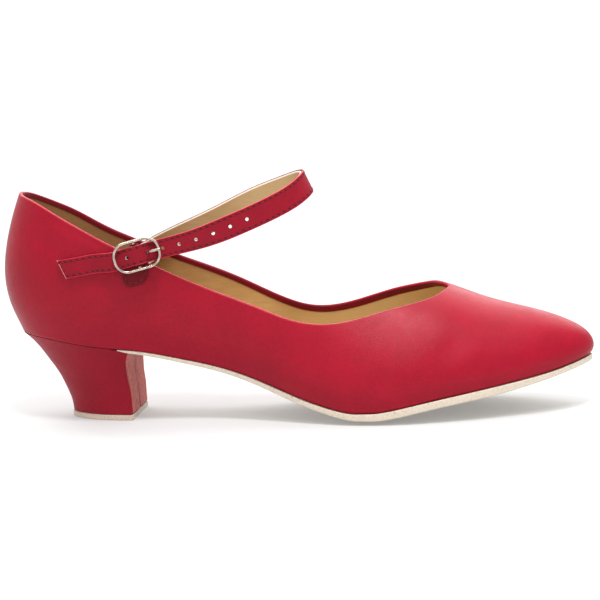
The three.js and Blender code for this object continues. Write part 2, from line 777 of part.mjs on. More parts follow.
function strapStations(frame) {
  const stations = [];
  const add = (point, up) => stations.push({ point, up: up.clone().normalize() });
  const addOnQuarter = (side, x, z, run, height) => {
    const { point, normal } = faceAt(side, x, z);
    const up = run.clone().cross(normal);
    add(point.addScaledVector(normal, height), up.z > 0 ? up : up.negate());
  };
  TAIL_PLACES.forEach((place) => {
    const ahead = STRAP_TAIL * place;
    const run = new THREE.Vector3(1, 0, TAIL_SLOPE);
    const height = 2 * GAP + STRAP_THICKNESS / 2;
    addOnQuarter(OUTER, BUCKLE_AT + ahead, BUCKLE_LEVEL + TAIL_SLOPE * ahead, run, height);
  });
  BUCKLE_PLACES.forEach((place) => {
    const end = Math.abs(place) === 0.5 ? GAP : 0;
    const out = place === 0 ? STRAP_OVER_BAR : STRAP_UNDER_FRAME - end;
    add(placeInFrame(frame, place * BUCKLE_LENGTH, 0, out), frame.up);
  });
  const startSlope = Math.tan(THREE.MathUtils.degToRad(BUCKLE_TILT));
  const start = placeInFrame(frame, 0, 0, STRAP_UNDER_FRAME);
  const far = faceAt(INNER, BUCKLE_AT, BUCKLE_LEVEL);
  const farY = far.point.y - WALL - GAP - STRAP_THICKNESS;
  for (let i = 1; i <= LOOP_POINTS; i += 1) {
    const angle = mix(0, Math.PI, i / (LOOP_POINTS + 1));
    const ahead = Math.abs(Math.sin(angle)) ** (2 / LOOP_SQUARENESS);
    const sideways = Math.cos(angle);
    const forward = STRAP_REACH * ahead;
    if (sideways > 0 && forward < LOOP_START) {
      continue;
    }
    const y = sideways > 0 ? start.y * sideways : -farY * sideways;
    const climb = mix(startSlope, LOOP_END_SLOPE, ahead);
    const lift = STRAP_FAR_LIFT * ((1 - sideways) / 2) * smoothStep(LOOP_LIFT_FROM, LOOP_LIFT_TO, ahead);
    const drop = STRAP_NEAR_DROP * ahead * smoothStep(LOOP_DROP_FROM, LOOP_DROP_TO, sideways);
    const z = BUCKLE_LEVEL + forward * mix(startSlope, LOOP_END_SLOPE, ahead / 2) + lift - drop;
    add(new THREE.Vector3(BUCKLE_AT + forward, y, z), new THREE.Vector3(-climb, 0, 1));
  }
  [0, 1].forEach((place) => {
    const x = BUCKLE_AT - place * STRAP_ROOT_DEPTH * ROOT_RUN.x;
    const z = BUCKLE_LEVEL - ROOT_DROP - place * STRAP_ROOT_DEPTH * ROOT_RUN.z;
    addOnQuarter(INNER, x, z, ROOT_RUN, -(WALL + 2 * GAP + STRAP_THICKNESS / 2));
  });
  return stations;
}

const STRAP_STEPS = 64;
const TIP_STEPS = 5;
const WIDENING_FROM = 0.2 * STRAP_REACH;
const WIDENING_TO = 0.6 * STRAP_REACH;
const FRAME_STEP = 0.1;

function strapPath(frame) {
  const stations = strapStations(frame);
  const lengths = [0];
  stations.forEach((station, i) => {
    if (i > 0) {
      lengths.push(lengths[i - 1] + station.point.distanceTo(stations[i - 1].point));
    }
  });
  const axes = ['x', 'y', 'z'];
  const places = axes.map((axis) => spline(lengths, stations.map((station) => station.point[axis])));
  const ups = axes.map((axis) => spline(lengths, stations.map((station) => station.up[axis])));
  const zero = lengths[TAIL_PLACES.length + BUCKLE_PLACES.indexOf(0)];
  return { places, ups, total: lengths[lengths.length - 1], zero };
}

function strapFrameAt(path, length) {
  const point = new THREE.Vector3(...path.places.map((place) => place(length)));
  const ahead = new THREE.Vector3(...path.places.map((place) => place(length + FRAME_STEP)));
  const behind = new THREE.Vector3(...path.places.map((place) => place(length - FRAME_STEP)));
  const along = ahead.sub(behind).normalize();
  const up = new THREE.Vector3(...path.ups.map((place) => place(length)));
  up.addScaledVector(along, -up.dot(along)).normalize();
  return { point, along, up, out: along.clone().cross(up) };
}

function strapGeometry(frame, prongClearance) {
  const path = strapPath(frame);
  const rings = [];
  for (let i = 0; i <= STRAP_STEPS; i += 1) {
    const share = i / STRAP_STEPS;
    const slant = STRAP_SLANT * Math.max(0, 1 - i / TIP_STEPS);
    const corner = (half, out) => {
      const length = share * path.total + (half > 0 ? 0 : slant);
      const at = strapFrameAt(path, length);
      return at.point.addScaledVector(at.up, half).addScaledVector(at.out, out);
    };
    const wide = smoothStep(path.zero + WIDENING_FROM, path.zero + WIDENING_TO, share * path.total);
    const half = mix(STRAP_TIP_WIDTH, STRAP_WIDTH, wide) / 2;
    const face = STRAP_THICKNESS / 2;
    rings.push([corner(half, -face), corner(half, face), corner(-half, face), corner(-half, -face)]);
  }
  let strap = toManifold(skinRings(rings, true));
  for (let i = 0; i < HOLE_COUNT; i += 1) {
    if (i !== PRONG_HOLE_INDEX) {
      const spare = i < PRONG_HOLE_INDEX ? HUMP_SPARE : 0;
      const at = strapFrameAt(path, path.zero + HOLE_START + HOLE_PITCH * (i - PRONG_HOLE_INDEX) - spare);
      const punch = new THREE.CylinderGeometry(HOLE_RADIUS, HOLE_RADIUS, STRAP_THICKNESS * 2, 8);
      const turn = new THREE.Quaternion().setFromUnitVectors(new THREE.Vector3(0, 1, 0), at.out);
      punch.applyQuaternion(turn).translate(at.point.x, at.point.y, at.point.z);
      strap = strap.subtract(toManifold(punch));
    }
  }
  return fromManifold(strap.subtract(prongClearance));
}

// Buckle: a rounded frame, two lugs and the bar across it
function roundedOutline(Path, length, width, corner) {
  const path = new Path();
  const [x, y] = [length / 2, width / 2];
  path.moveTo(-x + corner, -y);
  path.lineTo(x - corner, -y);
  path.absarc(x - corner, -y + corner, corner, -Math.PI / 2, 0, false);
  path.lineTo(x, y - corner);
  path.absarc(x - corner, y - corner, corner, 0, Math.PI / 2, false);
  path.lineTo(-x + corner, y);
  path.absarc(-x + corner, y - corner, corner, Math.PI / 2, Math.PI, false);
  path.lineTo(-x, -y + corner);
  path.absarc(-x + corner, -y + corner, corner, Math.PI, 1.5 * Math.PI, false);
  return path;
}

function outDirection(frame) {
  return Math.sign(frame.along.clone().cross(frame.up).dot(frame.out));
}

function buckleGeometry(frame) {
  const outward = outDirection(frame);
  const shape = roundedOutline(THREE.Shape, BUCKLE_LENGTH, BUCKLE_WIDTH, BUCKLE_CORNER);
  const inner = [BUCKLE_LENGTH - 2 * BUCKLE_BAND, BUCKLE_WIDTH - 2 * BUCKLE_BAND];
  shape.holes.push(roundedOutline(THREE.Path, ...inner, BUCKLE_CORNER - BUCKLE_BAND));
  const options = { depth: BUCKLE_DEPTH, bevelEnabled: false, curveSegments: 7 };
  const ring = new THREE.ExtrudeGeometry(shape, options);
  ring.translate(0, 0, outward > 0 ? FRAME_INNER_FACE : -FRAME_INNER_FACE - BUCKLE_DEPTH);
  let solid = toManifold(ring);
  const barEnd = BUCKLE_WIDTH / 2 - BUCKLE_BAND / 2;
  const lugFoot = BAR_OUT - BAR_RADIUS;
  const lugHeight = FRAME_INNER_FACE + BUCKLE_DEPTH - lugFoot;
  [-1, 1].forEach((side) => {
    const lug = new THREE.BoxGeometry(3 * BAR_RADIUS, BUCKLE_BAND, lugHeight);
    lug.translate(0, side * barEnd, outward * (lugFoot + lugHeight / 2));
    solid = solid.add(toManifold(lug));
  });
  const bar = new THREE.CylinderGeometry(BAR_RADIUS, BAR_RADIUS, 2 * barEnd, 10);
  bar.translate(0, 0, outward * BAR_OUT);
  solid = solid.add(toManifold(bar));
  return fromManifold(solid).applyMatrix4(frameMatrix(frame));
}

// Prong: an eye round the bar, then a pin up through the strap onto the end of the frame. Its route is
// in shares of half the frame's length and of the climb from the bar onto the frame
const PRONG_EYE_RADIUS = BAR_RADIUS + GAP + EYE_WIRE_RADIUS;
const PRONG_ROUTE = table(['along', 'climb'], [
  [0.146, 0.000],
  [0.302, 0.054],
  [0.410, 0.268],
  [0.507, 0.643],
  [0.644, 0.964],
  [0.800, 1.000],
  [1.020, 1.000],
]);

function prongGeometry(frame, radius) {
  const outward = outDirection(frame);
  const rest = FRAME_INNER_FACE + BUCKLE_DEPTH + GAP + PRONG_RADIUS;
  const route = PRONG_ROUTE.along.map((along, i) => new THREE.Vector3(
    (along * BUCKLE_LENGTH) / 2,
    0,
    outward * mix(BAR_OUT, rest, PRONG_ROUTE.climb[i]),
  ));
  const curve = new THREE.CatmullRomCurve3(route);
  const circle = new THREE.Shape().absarc(0, 0, radius, 0, 2 * Math.PI, false);
  const pin = new THREE.ExtrudeGeometry(circle, { steps: 16, extrudePath: curve, curveSegments: 4 });
  const eye = new THREE.TorusGeometry(PRONG_EYE_RADIUS, EYE_WIRE_RADIUS + radius - PRONG_RADIUS, 6, 12);
  eye.rotateX(Math.PI / 2).translate(0, 0, outward * BAR_OUT);
  return toManifold(pin).add(toManifold(eye)).transform(frameMatrix(frame).elements);
}

// Tab: a stitched leather plate on the quarter, with a sleeve that holds the bar in two halves
const TAB_STATIONS = 9;
const TAB_ROUND = 0.4 * TAB_WIDTH;
const TAB_END_CUT = 0.8;
const TAB_LEAN = 0.27;

function tabGeometry(frame, prongClearance) {
  const rings = [];
  for (let i = 0; i <= TAB_STATIONS; i += 1) {
    const drop = mix(0, TAB_LENGTH, i / TAB_STATIONS);
    const level = SLEEVE_OUTER * 2 - drop;
    const end = clamp01((drop - TAB_LENGTH + TAB_ROUND) / TAB_ROUND);
    const half = (TAB_WIDTH / 2) * Math.sqrt(1 - TAB_END_CUT * end ** 2);
    const inner = [];
    const outer = [];
    for (let k = 0; k <= 4; k += 1) {
      const across = mix(-half, half, k / 4);
      const lean = TAB_LEAN * Math.max(0, SLEEVE_OUTER - level);
      const flat = placeInFrame(frame, across - lean, level, 0);
      const { point, normal } = faceAt(OUTER, flat.x, flat.z);
      inner.push(point.clone().addScaledVector(normal, GAP));
      outer.push(point.clone().addScaledVector(normal, TAB_TOP));
    }
    rings.push([...inner, ...outer.reverse()]);
  }
  let solid = toManifold(skinRings(rings, true));
  const outward = outDirection(frame);
  [-1, 1].forEach((side) => {
    const profile = [[-1, 0], [-1, 1], [1, 1], [1, 0], [-1, 0]].map(([end, rim]) => new THREE.Vector2(
      mix(BAR_RADIUS + GAP, SLEEVE_OUTER, rim),
      (end * SLEEVE_LENGTH) / 2,
    ));
    const sleeve = new THREE.LatheGeometry(profile, 12);
    sleeve.translate(0, side * (SLEEVE_LENGTH / 2 + 2 * PRONG_RADIUS + GAP), outward * BAR_OUT);
    sleeve.applyMatrix4(frameMatrix(frame));
    solid = solid.add(toManifold(sleeve));
  });
  return fromManifold(solid.subtract(prongClearance));
}

const COLOURS = {
  leather: { color: 0xb0283e, roughness: 0.5, metalness: 0 },
  suede: { color: 0xdecdb4, roughness: 0.95, metalness: 0 },
  lining: { color: 0xbe965a, roughness: 0.8, metalness: 0 },
  metal: { color: 0xd8d4cc, roughness: 0.2, metalness: 1 },
};

function namedMesh(name, geometry, finish) {
  const mesh = new THREE.Mesh(geometry, new THREE.MeshStandardMaterial(COLOURS[finish]));
  mesh.name = name;
  return mesh;
}

const shoe = new THREE.Group();
const buckle = buckleFrame();
const prong = prongGeometry(buckle, PRONG_RADIUS);
const prongRoom = prongGeometry(buckle, PRONG_RADIUS + GAP);
shoe.add(
  namedMesh('upper', upperGeometry(), 'leather'),
  namedMesh('outsole', soleGeometry(), 'suede'),
  namedMesh('insole', insoleGeometry(), 'lining'),
  namedMesh('heel', heelGeometry(), 'leather'),
  namedMesh('heel_top_piece', topPieceGeometry(), 'suede'),
  namedMesh('strap', strapGeometry(buckle, prongRoom), 'leather'),
  namedMesh('buckle_tab', tabGeometry(buckle, prongRoom), 'leather'),
  namedMesh('buckle_frame', buckleGeometry(buckle), 'metal'),
  namedMesh('buckle_prong', fromManifold(prong), 'metal'),
);
shoe.position.set(-(HEEL_BACK_AT + HEEL_BREAST_AT) / 2, 0, 0);

export default shoe;
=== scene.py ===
"""Dresses the character shoe: fine leather, lining, stitching, buckle, sole and heel round the CAD frame.

Surfaces are worked out in millimetres along the last, from its back (x = 0) to its toe, and are then
brought into the frame, whose origin is the centre of the heel's ground contact.
"""

import functools
import logging
import math
from dataclasses import dataclass, field
from enum import Enum
from typing import Callable, Iterable, Sequence

import bmesh
import bpy
import numpy as np
from mathutils import Matrix, Vector


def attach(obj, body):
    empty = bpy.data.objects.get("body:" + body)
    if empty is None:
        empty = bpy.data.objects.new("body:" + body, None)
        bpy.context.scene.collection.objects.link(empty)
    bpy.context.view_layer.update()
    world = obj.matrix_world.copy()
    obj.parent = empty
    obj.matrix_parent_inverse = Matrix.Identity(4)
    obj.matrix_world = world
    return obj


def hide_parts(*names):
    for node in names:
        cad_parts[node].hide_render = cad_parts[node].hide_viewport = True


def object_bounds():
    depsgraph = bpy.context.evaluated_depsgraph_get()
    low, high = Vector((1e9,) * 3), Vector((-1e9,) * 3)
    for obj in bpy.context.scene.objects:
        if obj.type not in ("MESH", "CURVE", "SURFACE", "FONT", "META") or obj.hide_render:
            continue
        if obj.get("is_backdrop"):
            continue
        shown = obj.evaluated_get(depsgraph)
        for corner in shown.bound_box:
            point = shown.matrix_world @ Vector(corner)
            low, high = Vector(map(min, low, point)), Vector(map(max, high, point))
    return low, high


Array = np.ndarray
Socket = bpy.types.NodeSocket
Material = bpy.types.Material
Piece = bpy.types.Object
Colour = tuple[int, int, int]
Place = tuple[float, float, float]
Seam = tuple[Array, Array, Array]

LOG = logging.getLogger("character_shoe")
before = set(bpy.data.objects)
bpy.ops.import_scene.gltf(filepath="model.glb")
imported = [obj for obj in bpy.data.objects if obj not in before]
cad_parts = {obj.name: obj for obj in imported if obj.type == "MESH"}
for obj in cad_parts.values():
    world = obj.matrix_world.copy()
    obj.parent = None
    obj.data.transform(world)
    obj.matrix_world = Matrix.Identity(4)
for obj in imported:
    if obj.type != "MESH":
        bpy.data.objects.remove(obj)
MM = 0.001
TINY = 1e-3
WHITE = (1.0, 1.0, 1.0, 1.0)


class Side(Enum):
    """The two sides of a right shoe, by the sign of Y."""

    OUTER = -1
    INNER = 1


# Curves and grids


def mix(start: Array, end: Array, share: Array) -> Array:
    """Straight blend from start to end."""
    return start + (end - start) * share


def smooth_step(start: float, end: float, at: Array) -> Array:
    """Rises from 0 at start to 1 at end as 3 t^2 - 2 t^3."""
    share = np.clip((at - start) / (end - start), 0.0, 1.0)
    return share * share * (3.0 - 2.0 * share)


def unit(vectors: Array) -> Array:
    """Vectors of length one in the same directions."""
    return vectors / np.maximum(np.linalg.norm(vectors, axis=-1, keepdims=True), 1e-12)


def xyz(x: Array, y: Array, z: Array) -> Array:
    """Stacks three coordinate arrays into points."""
    return np.stack(np.broadcast_arrays(x, y, z), axis=-1).astype(float)


def angles_round(count: int) -> Array:
    """Evenly spaced angles of a full circle."""
    return np.arange(count) * 2.0 * math.pi / count


def circle(count: int, first: Array, second: Array) -> Array:
    """Points round an ellipse: cosine times the first direction plus sine times the second."""
    angles = angles_round(count)
    return np.cos(angles)[:, None] * first + np.sin(angles)[:, None] * second


def squarer(wave: Array, power: float) -> Array:
    """A sine or cosine whose size is raised to a power below one, which makes a circle squarer."""
    return np.sign(wave) * np.abs(wave) ** power


class NaturalSpline:
    """Cubic spline whose second slope is zero at both ends."""

    def __init__(self, knots: Sequence[float], values: Sequence[float]) -> None:
        """Solves for the second slopes at the knots.

        Args:
            knots: rising places.
            values: the value at each place.
        """
        self.knots = np.asarray(knots, float)
        self.values = np.asarray(values, float)
        spans = np.diff(self.knots)
        slopes = np.diff(self.values) / spans
        count = len(self.knots)
        system = np.eye(count)
        right = np.zeros(count)
        inner = np.arange(1, count - 1)
        system[inner, inner - 1] = spans[:-1]
        system[inner, inner] = 2.0 * (spans[:-1] + spans[1:])
        system[inner, inner + 1] = spans[1:]
        right[inner] = 6.0 * np.diff(slopes)
        self.bends = np.linalg.solve(system, right)

    def __call__(self, at: Array) -> Array:
        """Value at a place, which is first brought between the end knots.

        Args:
            at: the places.

        Returns:
            The values there.
        """
        place = np.clip(np.asarray(at, float), self.knots[0], self.knots[-1])
        i = np.clip(np.searchsorted(self.knots, place, side="left") - 1, 0, len(self.knots) - 2)
        span = self.knots[i + 1] - self.knots[i]
        b = (place - self.knots[i]) / span
        a = 1.0 - b
        arch = ((a**3 - a) * self.bends[i] + (b**3 - b) * self.bends[i + 1]) * span**2 / 6.0
        return a * self.values[i] + b * self.values[i + 1] + arch


def table(rows: Sequence[Sequence[float]]) -> Array:
    """A table's columns as arrays."""
    return np.asarray(rows, float).T


def grid_quads(rows: int, columns: int, wrap_rows: bool = False, wrap_columns: bool = False) -> Array:
    """Corner numbers of the quads of a grid of points.

    Args:
        rows: number of rows of points.
        columns: number of points in a row.
        wrap_rows: joins the last row to the first.
        wrap_columns: joins the last column to the first.

    Returns:
        One row of four corner numbers for each quad.
    """
    r = np.arange(rows if wrap_rows else rows - 1)
    c = np.arange(columns if wrap_columns else columns - 1)
    a, b = np.meshgrid(r, c, indexing="ij")
    r2, c2 = (a + 1) % rows, (b + 1) % columns
    quads = np.stack([a * columns + b, a * columns + c2, r2 * columns + c2, r2 * columns + b], axis=-1)
    return quads.reshape(-1, 4)


def signed_volume(points: Array, quads: Array) -> float:
    """Six times the volume inside closed quads, positive when they face outwards."""
    a, b, c, d = (points[quads[:, k]] for k in range(4))
    return float(np.einsum("ij,ij->i", a, np.cross(b, c) + np.cross(c, d)).sum())


FRAME_SHIFT = np.array([-38.95, 0.0, 0.0])
# Drop for lining pieces that get no painted shadow line.
FAR_BELOW = 50.0


def to_frame(points: Array) -> Array:
    """Points of the last in millimetres as points of the frame in metres."""
    return (np.asarray(points, float).reshape(-1, 3) + FRAME_SHIFT) * MM


@dataclass
class Skin:
    """Points in millimetres and the faces between them, before they become a piece."""

    points: Array
    faces: list[Sequence[int]]
    finish: Array

    @staticmethod
    def of_rings(rings: Array, wrap: bool = False, cap_finish: int = 0) -> "Skin":
        """Skins a row of closed rings.

        Args:
            rings: points, ring by ring.
            wrap: joins the last ring to the first, instead of closing both ends with one face.
            cap_finish: which material slot the end faces take.

        Returns:
            The skin, its faces turned outwards.
        """
        count, size = rings.shape[:2]
        points = rings.reshape(-1, 3)
        quads = grid_quads(count, size, wrap_rows=wrap, wrap_columns=True)
        first, last = np.arange(size)[::-1], np.arange(size) + (count - 1) * size
        if signed_volume(points - points.mean(0), quads) < 0:
            quads, first, last = quads[:, ::-1], first[::-1], last[::-1]
        caps = [] if wrap else [first.tolist(), last.tolist()]
        finish = np.concatenate([np.zeros(len(quads), int), np.full(len(caps), cap_finish, int)])
        return Skin(points, quads.tolist() + caps, finish)

    def joined(self, other: "Skin") -> "Skin":
        """This skin and another as one.

        Args:
            other: the skin to add.

        Returns:
            Both, this one first.
        """
        shift = len(self.points)
        faces = self.faces + [[corner + shift for corner in face] for face in other.faces]
        points = np.vstack([self.points, other.points])
        return Skin(points, faces, np.concatenate([self.finish, other.finish]))


def gathered(skins: Iterable[Skin]) -> Skin:
    """Several skins as one, in their order."""
    return functools.reduce(Skin.joined, skins)


def add_object(name: str, data: bpy.types.ID) -> Piece:
    """Adds an object to the scene.

    Args:
        name: name of the object.
        data: its mesh, light or camera.

    Returns:
        The new object.
    """
    made = bpy.data.objects.new(name, data)
    bpy.context.scene.collection.objects.link(made)
    return made


def make_piece(name: str, skin: Skin, materials: Sequence[Material], crease_deg: float = 40.0) -> Piece:
    """Makes a smooth shaded object with its place in its mesh.

    Args:
        name: name of the piece.
        skin: its points and faces.
        materials: its material slots, in order.
        crease_deg: edges sharper than this stay sharp.

    Returns:
        The new object.
    """
    mesh = bpy.data.meshes.new(name)
    mesh.from_pydata(to_frame(skin.points).tolist(), [], skin.faces)
    for material in materials:
        mesh.materials.append(material)
    mesh.polygons.foreach_set("material_index", skin.finish.astype(np.int32))
    work = bmesh.new()
    work.from_mesh(mesh)
    bmesh.ops.remove_doubles(work, verts=work.verts, dist=2e-6)
    bmesh.ops.dissolve_degenerate(work, edges=work.edges, dist=1e-7)
    work.to_mesh(mesh)
    work.free()
    mesh.polygons.foreach_set("use_smooth", np.ones(len(mesh.polygons), bool))
    mesh.set_sharp_from_angle(angle=math.radians(crease_deg))
    mesh.update()
    return add_object(name, mesh)


def piece_points(piece: Piece) -> Array:
    """A piece's points in the frame, in metres."""
    flat = np.zeros(len(piece.data.vertices) * 3)
    piece.data.vertices.foreach_get("co", flat)
    return flat.reshape(-1, 3)


def set_attribute(piece: Piece, name: str, values: Array) -> None:
    """Stores one number at each point of a piece, for its material to read."""
    layer = piece.data.attributes.new(name, "FLOAT", "POINT")
    layer.data.foreach_set("value", np.asarray(values, np.float32))


def distance_to(points: Array, line: Array) -> Array:
    """Distance from each point to the nearest of a line's points.

    Args:
        points: the points.
        line: places along the line.

    Returns:
        One distance for each point.
    """
    best = np.full(len(points), np.inf)
    batch = 4000
    for start in range(0, len(points), batch):
        part = points[start:start + batch]
        gaps = np.linalg.norm(part[:, None, :] - line[None, :, :], axis=-1)
        best[start:start + batch] = gaps.min(1)
    return best


# The last


@dataclass
class Last:
    """The form inside the shoe, as in the frame: its outer face is the outer face of the upper."""

    shoe_length: float = 250.0
    ball_width: float = 74.0
    heel_rise: float = 34.6
    toe_spring: float = 19.0
    toe_swing: float = 6.0
    cross_rise: float = 2.0
    cone_height: float = 138.0
    back_height: float = 97.6
    seat_inset: float = 4.4
    toe_inset: float = 1.6
    throat_at: float = 189.5
    gap: float = 0.3
    floor_level: float = 3.0
    swing_start: float = 110.0
    swing_power: float = 1.7
    swell_power: float = 1.4
    cross_power: float = 3.0
    vamp_turns: tuple[float, float] = (0.3, 0.95)
    outline: Array = field(default_factory=lambda: table([
        (0.000, 0.000, 0.000), (0.031, 0.209, 0.207), (0.105, 0.322, 0.318), (0.207, 0.327, 0.308),
        (0.330, 0.281, 0.243), (0.453, 0.342, 0.295), (0.576, 0.474, 0.420), (0.679, 0.509, 0.480),
        (0.781, 0.451, 0.438), (0.884, 0.323, 0.307), (0.960, 0.180, 0.160), (1.000, 0.000, 0.000),
    ]))
    bed: Array = field(default_factory=lambda: table([
        (0.000, 1.000, 0.000, 0.00), (0.068, 0.974, 0.000, 0.00), (0.120, 0.919, 0.000, 0.00),
        (0.168, 0.867, 0.000, 0.00), (0.236, 0.809, 0.000, 0.00), (0.304, 0.702, 0.000, 0.00),
        (0.372, 0.583, 0.000, 0.05), (0.442, 0.416, 0.000, 0.20), (0.514, 0.203, 0.000, 0.60),
        (0.560, 0.085, 0.000, 0.85), (0.600, 0.008, 0.000, 1.00), (0.650, 0.000, 0.012, 1.00),
        (0.690, 0.000, 0.105, 1.00), (0.752, 0.000, 0.282, 1.00), (0.820, 0.000, 0.463, 0.95),
        (0.884, 0.000, 0.626, 0.90), (0.947, 0.000, 0.805, 0.80), (1.000, 0.000, 1.020, 0.60),
    ]))
    crown: Array = field(default_factory=lambda: table([
        (-0.02, 1.000), (0.100, 0.995), (0.300, 0.855), (0.400, 0.725), (0.500, 0.594), (0.600, 0.489),
        (0.680, 0.428), (0.758, 0.386), (0.808, 0.351), (0.860, 0.323), (0.920, 0.300), (1.020, 0.264),
    ]))
    sections: Array = field(default_factory=lambda: table([
        (0.00, 2.60, 0.103, 0.103, 0.30), (0.15, 2.60, 0.076, 0.076, 0.30), (0.33, 2.50, 0.062, 0.080, 0.28),
        (0.50, 2.35, 0.054, 0.060, 0.25), (0.63, 2.20, 0.035, 0.035, 0.22), (0.78, 2.15, 0.030, 0.030, 0.25),
        (0.90, 2.65, 0.025, 0.025, 0.28), (1.00, 4.20, 0.022, 0.022, 0.30),
    ]))
    top_line: Array = field(default_factory=lambda: table([
        (0.020, 1.004, 1.004), (0.056, 0.984, 0.943), (0.096, 0.938, 0.884), (0.144, 0.873, 0.808),
        (0.192, 0.805, 0.750), (0.240, 0.742, 0.703), (0.312, 0.646, 0.641), (0.380, 0.572, 0.573),
        (0.448, 0.507, 0.484), (0.500, 0.460, 0.433), (0.548, 0.440, 0.430), (0.600, 0.449, 0.462),
        (0.652, 0.479, 0.504), (0.712, 0.509, 0.544), (0.740, 0.526, 0.556), (0.758, 0.546, 0.546),
    ]))

    def __post_init__(self) -> None:
        """Lays the splines through the tables."""
        self.feather_length = self.shoe_length - self.seat_inset - self.toe_inset
        turns = self.turn_of(self.outline[0])
        self.half = {Side.OUTER: NaturalSpline(turns, self.outline[1]),
                     Side.INNER: NaturalSpline(turns, self.outline[2])}
        self.bed_lines = [NaturalSpline(self.bed[0], column) for column in self.bed[1:]]
        self.crown_line = NaturalSpline(*self.crown)
        self.shoulder = NaturalSpline(self.sections[0], self.sections[1])
        self.swell = {Side.OUTER: NaturalSpline(self.sections[0], self.sections[2]),
                      Side.INNER: NaturalSpline(self.sections[0], self.sections[3])}
        self.swell_level = NaturalSpline(self.sections[0], self.sections[4])
        self.top = {Side.OUTER: NaturalSpline(self.top_line[0], self.top_line[1]),
                    Side.INNER: NaturalSpline(self.top_line[0], self.top_line[2])}
        self.heel_hub, self.heel_fan = 0.18 * self.shoe_length, 0.28 * self.shoe_length
        self.toe_hub, self.toe_fan = 0.86 * self.shoe_length, self.throat_at + self.gap

    @staticmethod
    def turn_of(share: Array) -> Array:
        """Turn at a share of the feather length, the inverse of (1 - cos(pi turn)) / 2."""
        return np.arccos(np.clip(1.0 - 2.0 * np.asarray(share, float), -1.0, 1.0)) / np.pi

    @staticmethod
    def share_of(turn: Array) -> Array:
        """Share of the feather length at a turn: (1 - cos(pi turn)) / 2."""
        return (1.0 - np.cos(np.pi * turn)) / 2.0

    def feather_x(self, turn: Array) -> Array:
        """Place of the bottom edge along the shoe at a turn, closely spaced at both ends."""
        return self.seat_inset + self.share_of(turn) * self.feather_length

    def turn_at_x(self, x: Array) -> Array:
        """Turn at which the bottom edge is at x."""
        return self.turn_of(np.clip((x - self.seat_inset) / self.feather_length, 0.0, 1.0))

    def axis_y(self, x: Array) -> Array:
        """The axis swings inwards as a power of the distance past its start."""
        ahead = np.maximum(0.0, (x - self.swing_start) / (self.shoe_length - self.swing_start))
        return self.toe_swing * ahead**self.swing_power

    def bed_z(self, x: Array, y: Array) -> Array:
        """Height of the bottom: heel rise, toe spring and a rise towards the edges across.

        Args:
            x: place along the shoe.
            y: place across it.

        Returns:
            The heights.
        """
        share = x / self.shoe_length
        heel, spring, cross = (np.maximum(0.0, line(share)) for line in self.bed_lines)
        across = np.abs(y - self.axis_y(x)) / (self.ball_width / 2.0)
        return (self.floor_level + self.heel_rise * heel + self.toe_spring * spring
                + self.cross_rise * cross * across**self.cross_power)

    def feather(self, side: Side, turn: Array) -> tuple[Array, Array]:
        """The bottom edge's x and y at a turn."""
        x = self.feather_x(turn)
        return x, self.axis_y(x) + side.value * self.ball_width * self.half[side](turn)

    def hub_x(self, x: Array) -> Array:
        """Where the section through a bottom edge point meets the crown line: it fans at both ends.

        Args:
            x: places of the bottom edge along the shoe.

        Returns:
            The hubs' places along the shoe.
        """
        toe_end = self.shoe_length - self.toe_inset
        heel_power = (self.heel_fan - self.seat_inset) / (self.heel_fan - self.heel_hub)
        ahead = np.clip((x - self.seat_inset) / (self.heel_fan - self.seat_inset), 0.0, 1.0)
        at_heel = mix(self.heel_hub, self.heel_fan, ahead**heel_power)
        toe_power = (toe_end - self.toe_fan) / (self.toe_hub - self.toe_fan)
        left = np.clip((toe_end - x) / (toe_end - self.toe_fan), 0.0, 1.0) ** toe_power
        at_toe = mix(self.toe_hub, self.toe_fan, np.where(left < TINY, 0.0, left))
        return np.where(x < self.heel_fan, at_heel, np.where(x > self.toe_fan, at_toe, x))

    def point(self, side: Side, turn: Array, rise: Array) -> Array:
        """Point of the outer face.

        The section runs from the bottom edge (rise 0) in to its hub on the crown line (rise 1): its
        reach is the square root of 1 - rise^shoulder, widened by a swell that peaks at its level.

        Args:
            side: outer or inner side.
            turn: 0 at the back to 1 at the toe.
            rise: 0 at the bottom edge to 1 on the crown line.

        Returns:
            The points in millimetres.
        """
        turn, rise = np.broadcast_arrays(np.asarray(turn, float), np.asarray(rise, float))
        share = self.share_of(turn)
        foot_x, foot_y = self.feather(side, turn)
        hub = self.hub_x(foot_x)
        hub_y = self.axis_y(hub)
        reach = np.hypot(foot_x - hub, foot_y - hub_y)
        lean = rise / self.swell_level(share)
        swell = self.ball_width * self.swell[side](share) * (lean * np.exp(1.0 - lean)) ** self.swell_power
        draw = np.sqrt(np.maximum(0.0, 1.0 - rise ** self.shoulder(share))) * (1.0 + swell / reach)
        x, y = mix(hub, foot_x, draw), mix(hub_y, foot_y, draw)
        crown = self.cone_height * self.crown_line(x / self.shoe_length)
        return xyz(x, y, mix(self.bed_z(foot_x, foot_y), crown, rise))

    def crown_normal(self, turn: Array) -> Array:
        """Upward normal of the crown line where the section at a turn meets it.

        Args:
            turn: the sections.

        Returns:
            The normals, from the crown's fall over a step of a millimetre to either side.
        """
        hub = self.hub_x(self.feather_x(turn))
        step = 1.0
        behind, ahead = (self.crown_line(x / self.shoe_length) for x in (hub - step, hub + step))
        slope = (behind - ahead) * self.cone_height / (2.0 * step)
        return unit(xyz(slope, np.zeros_like(slope), np.ones_like(slope)))

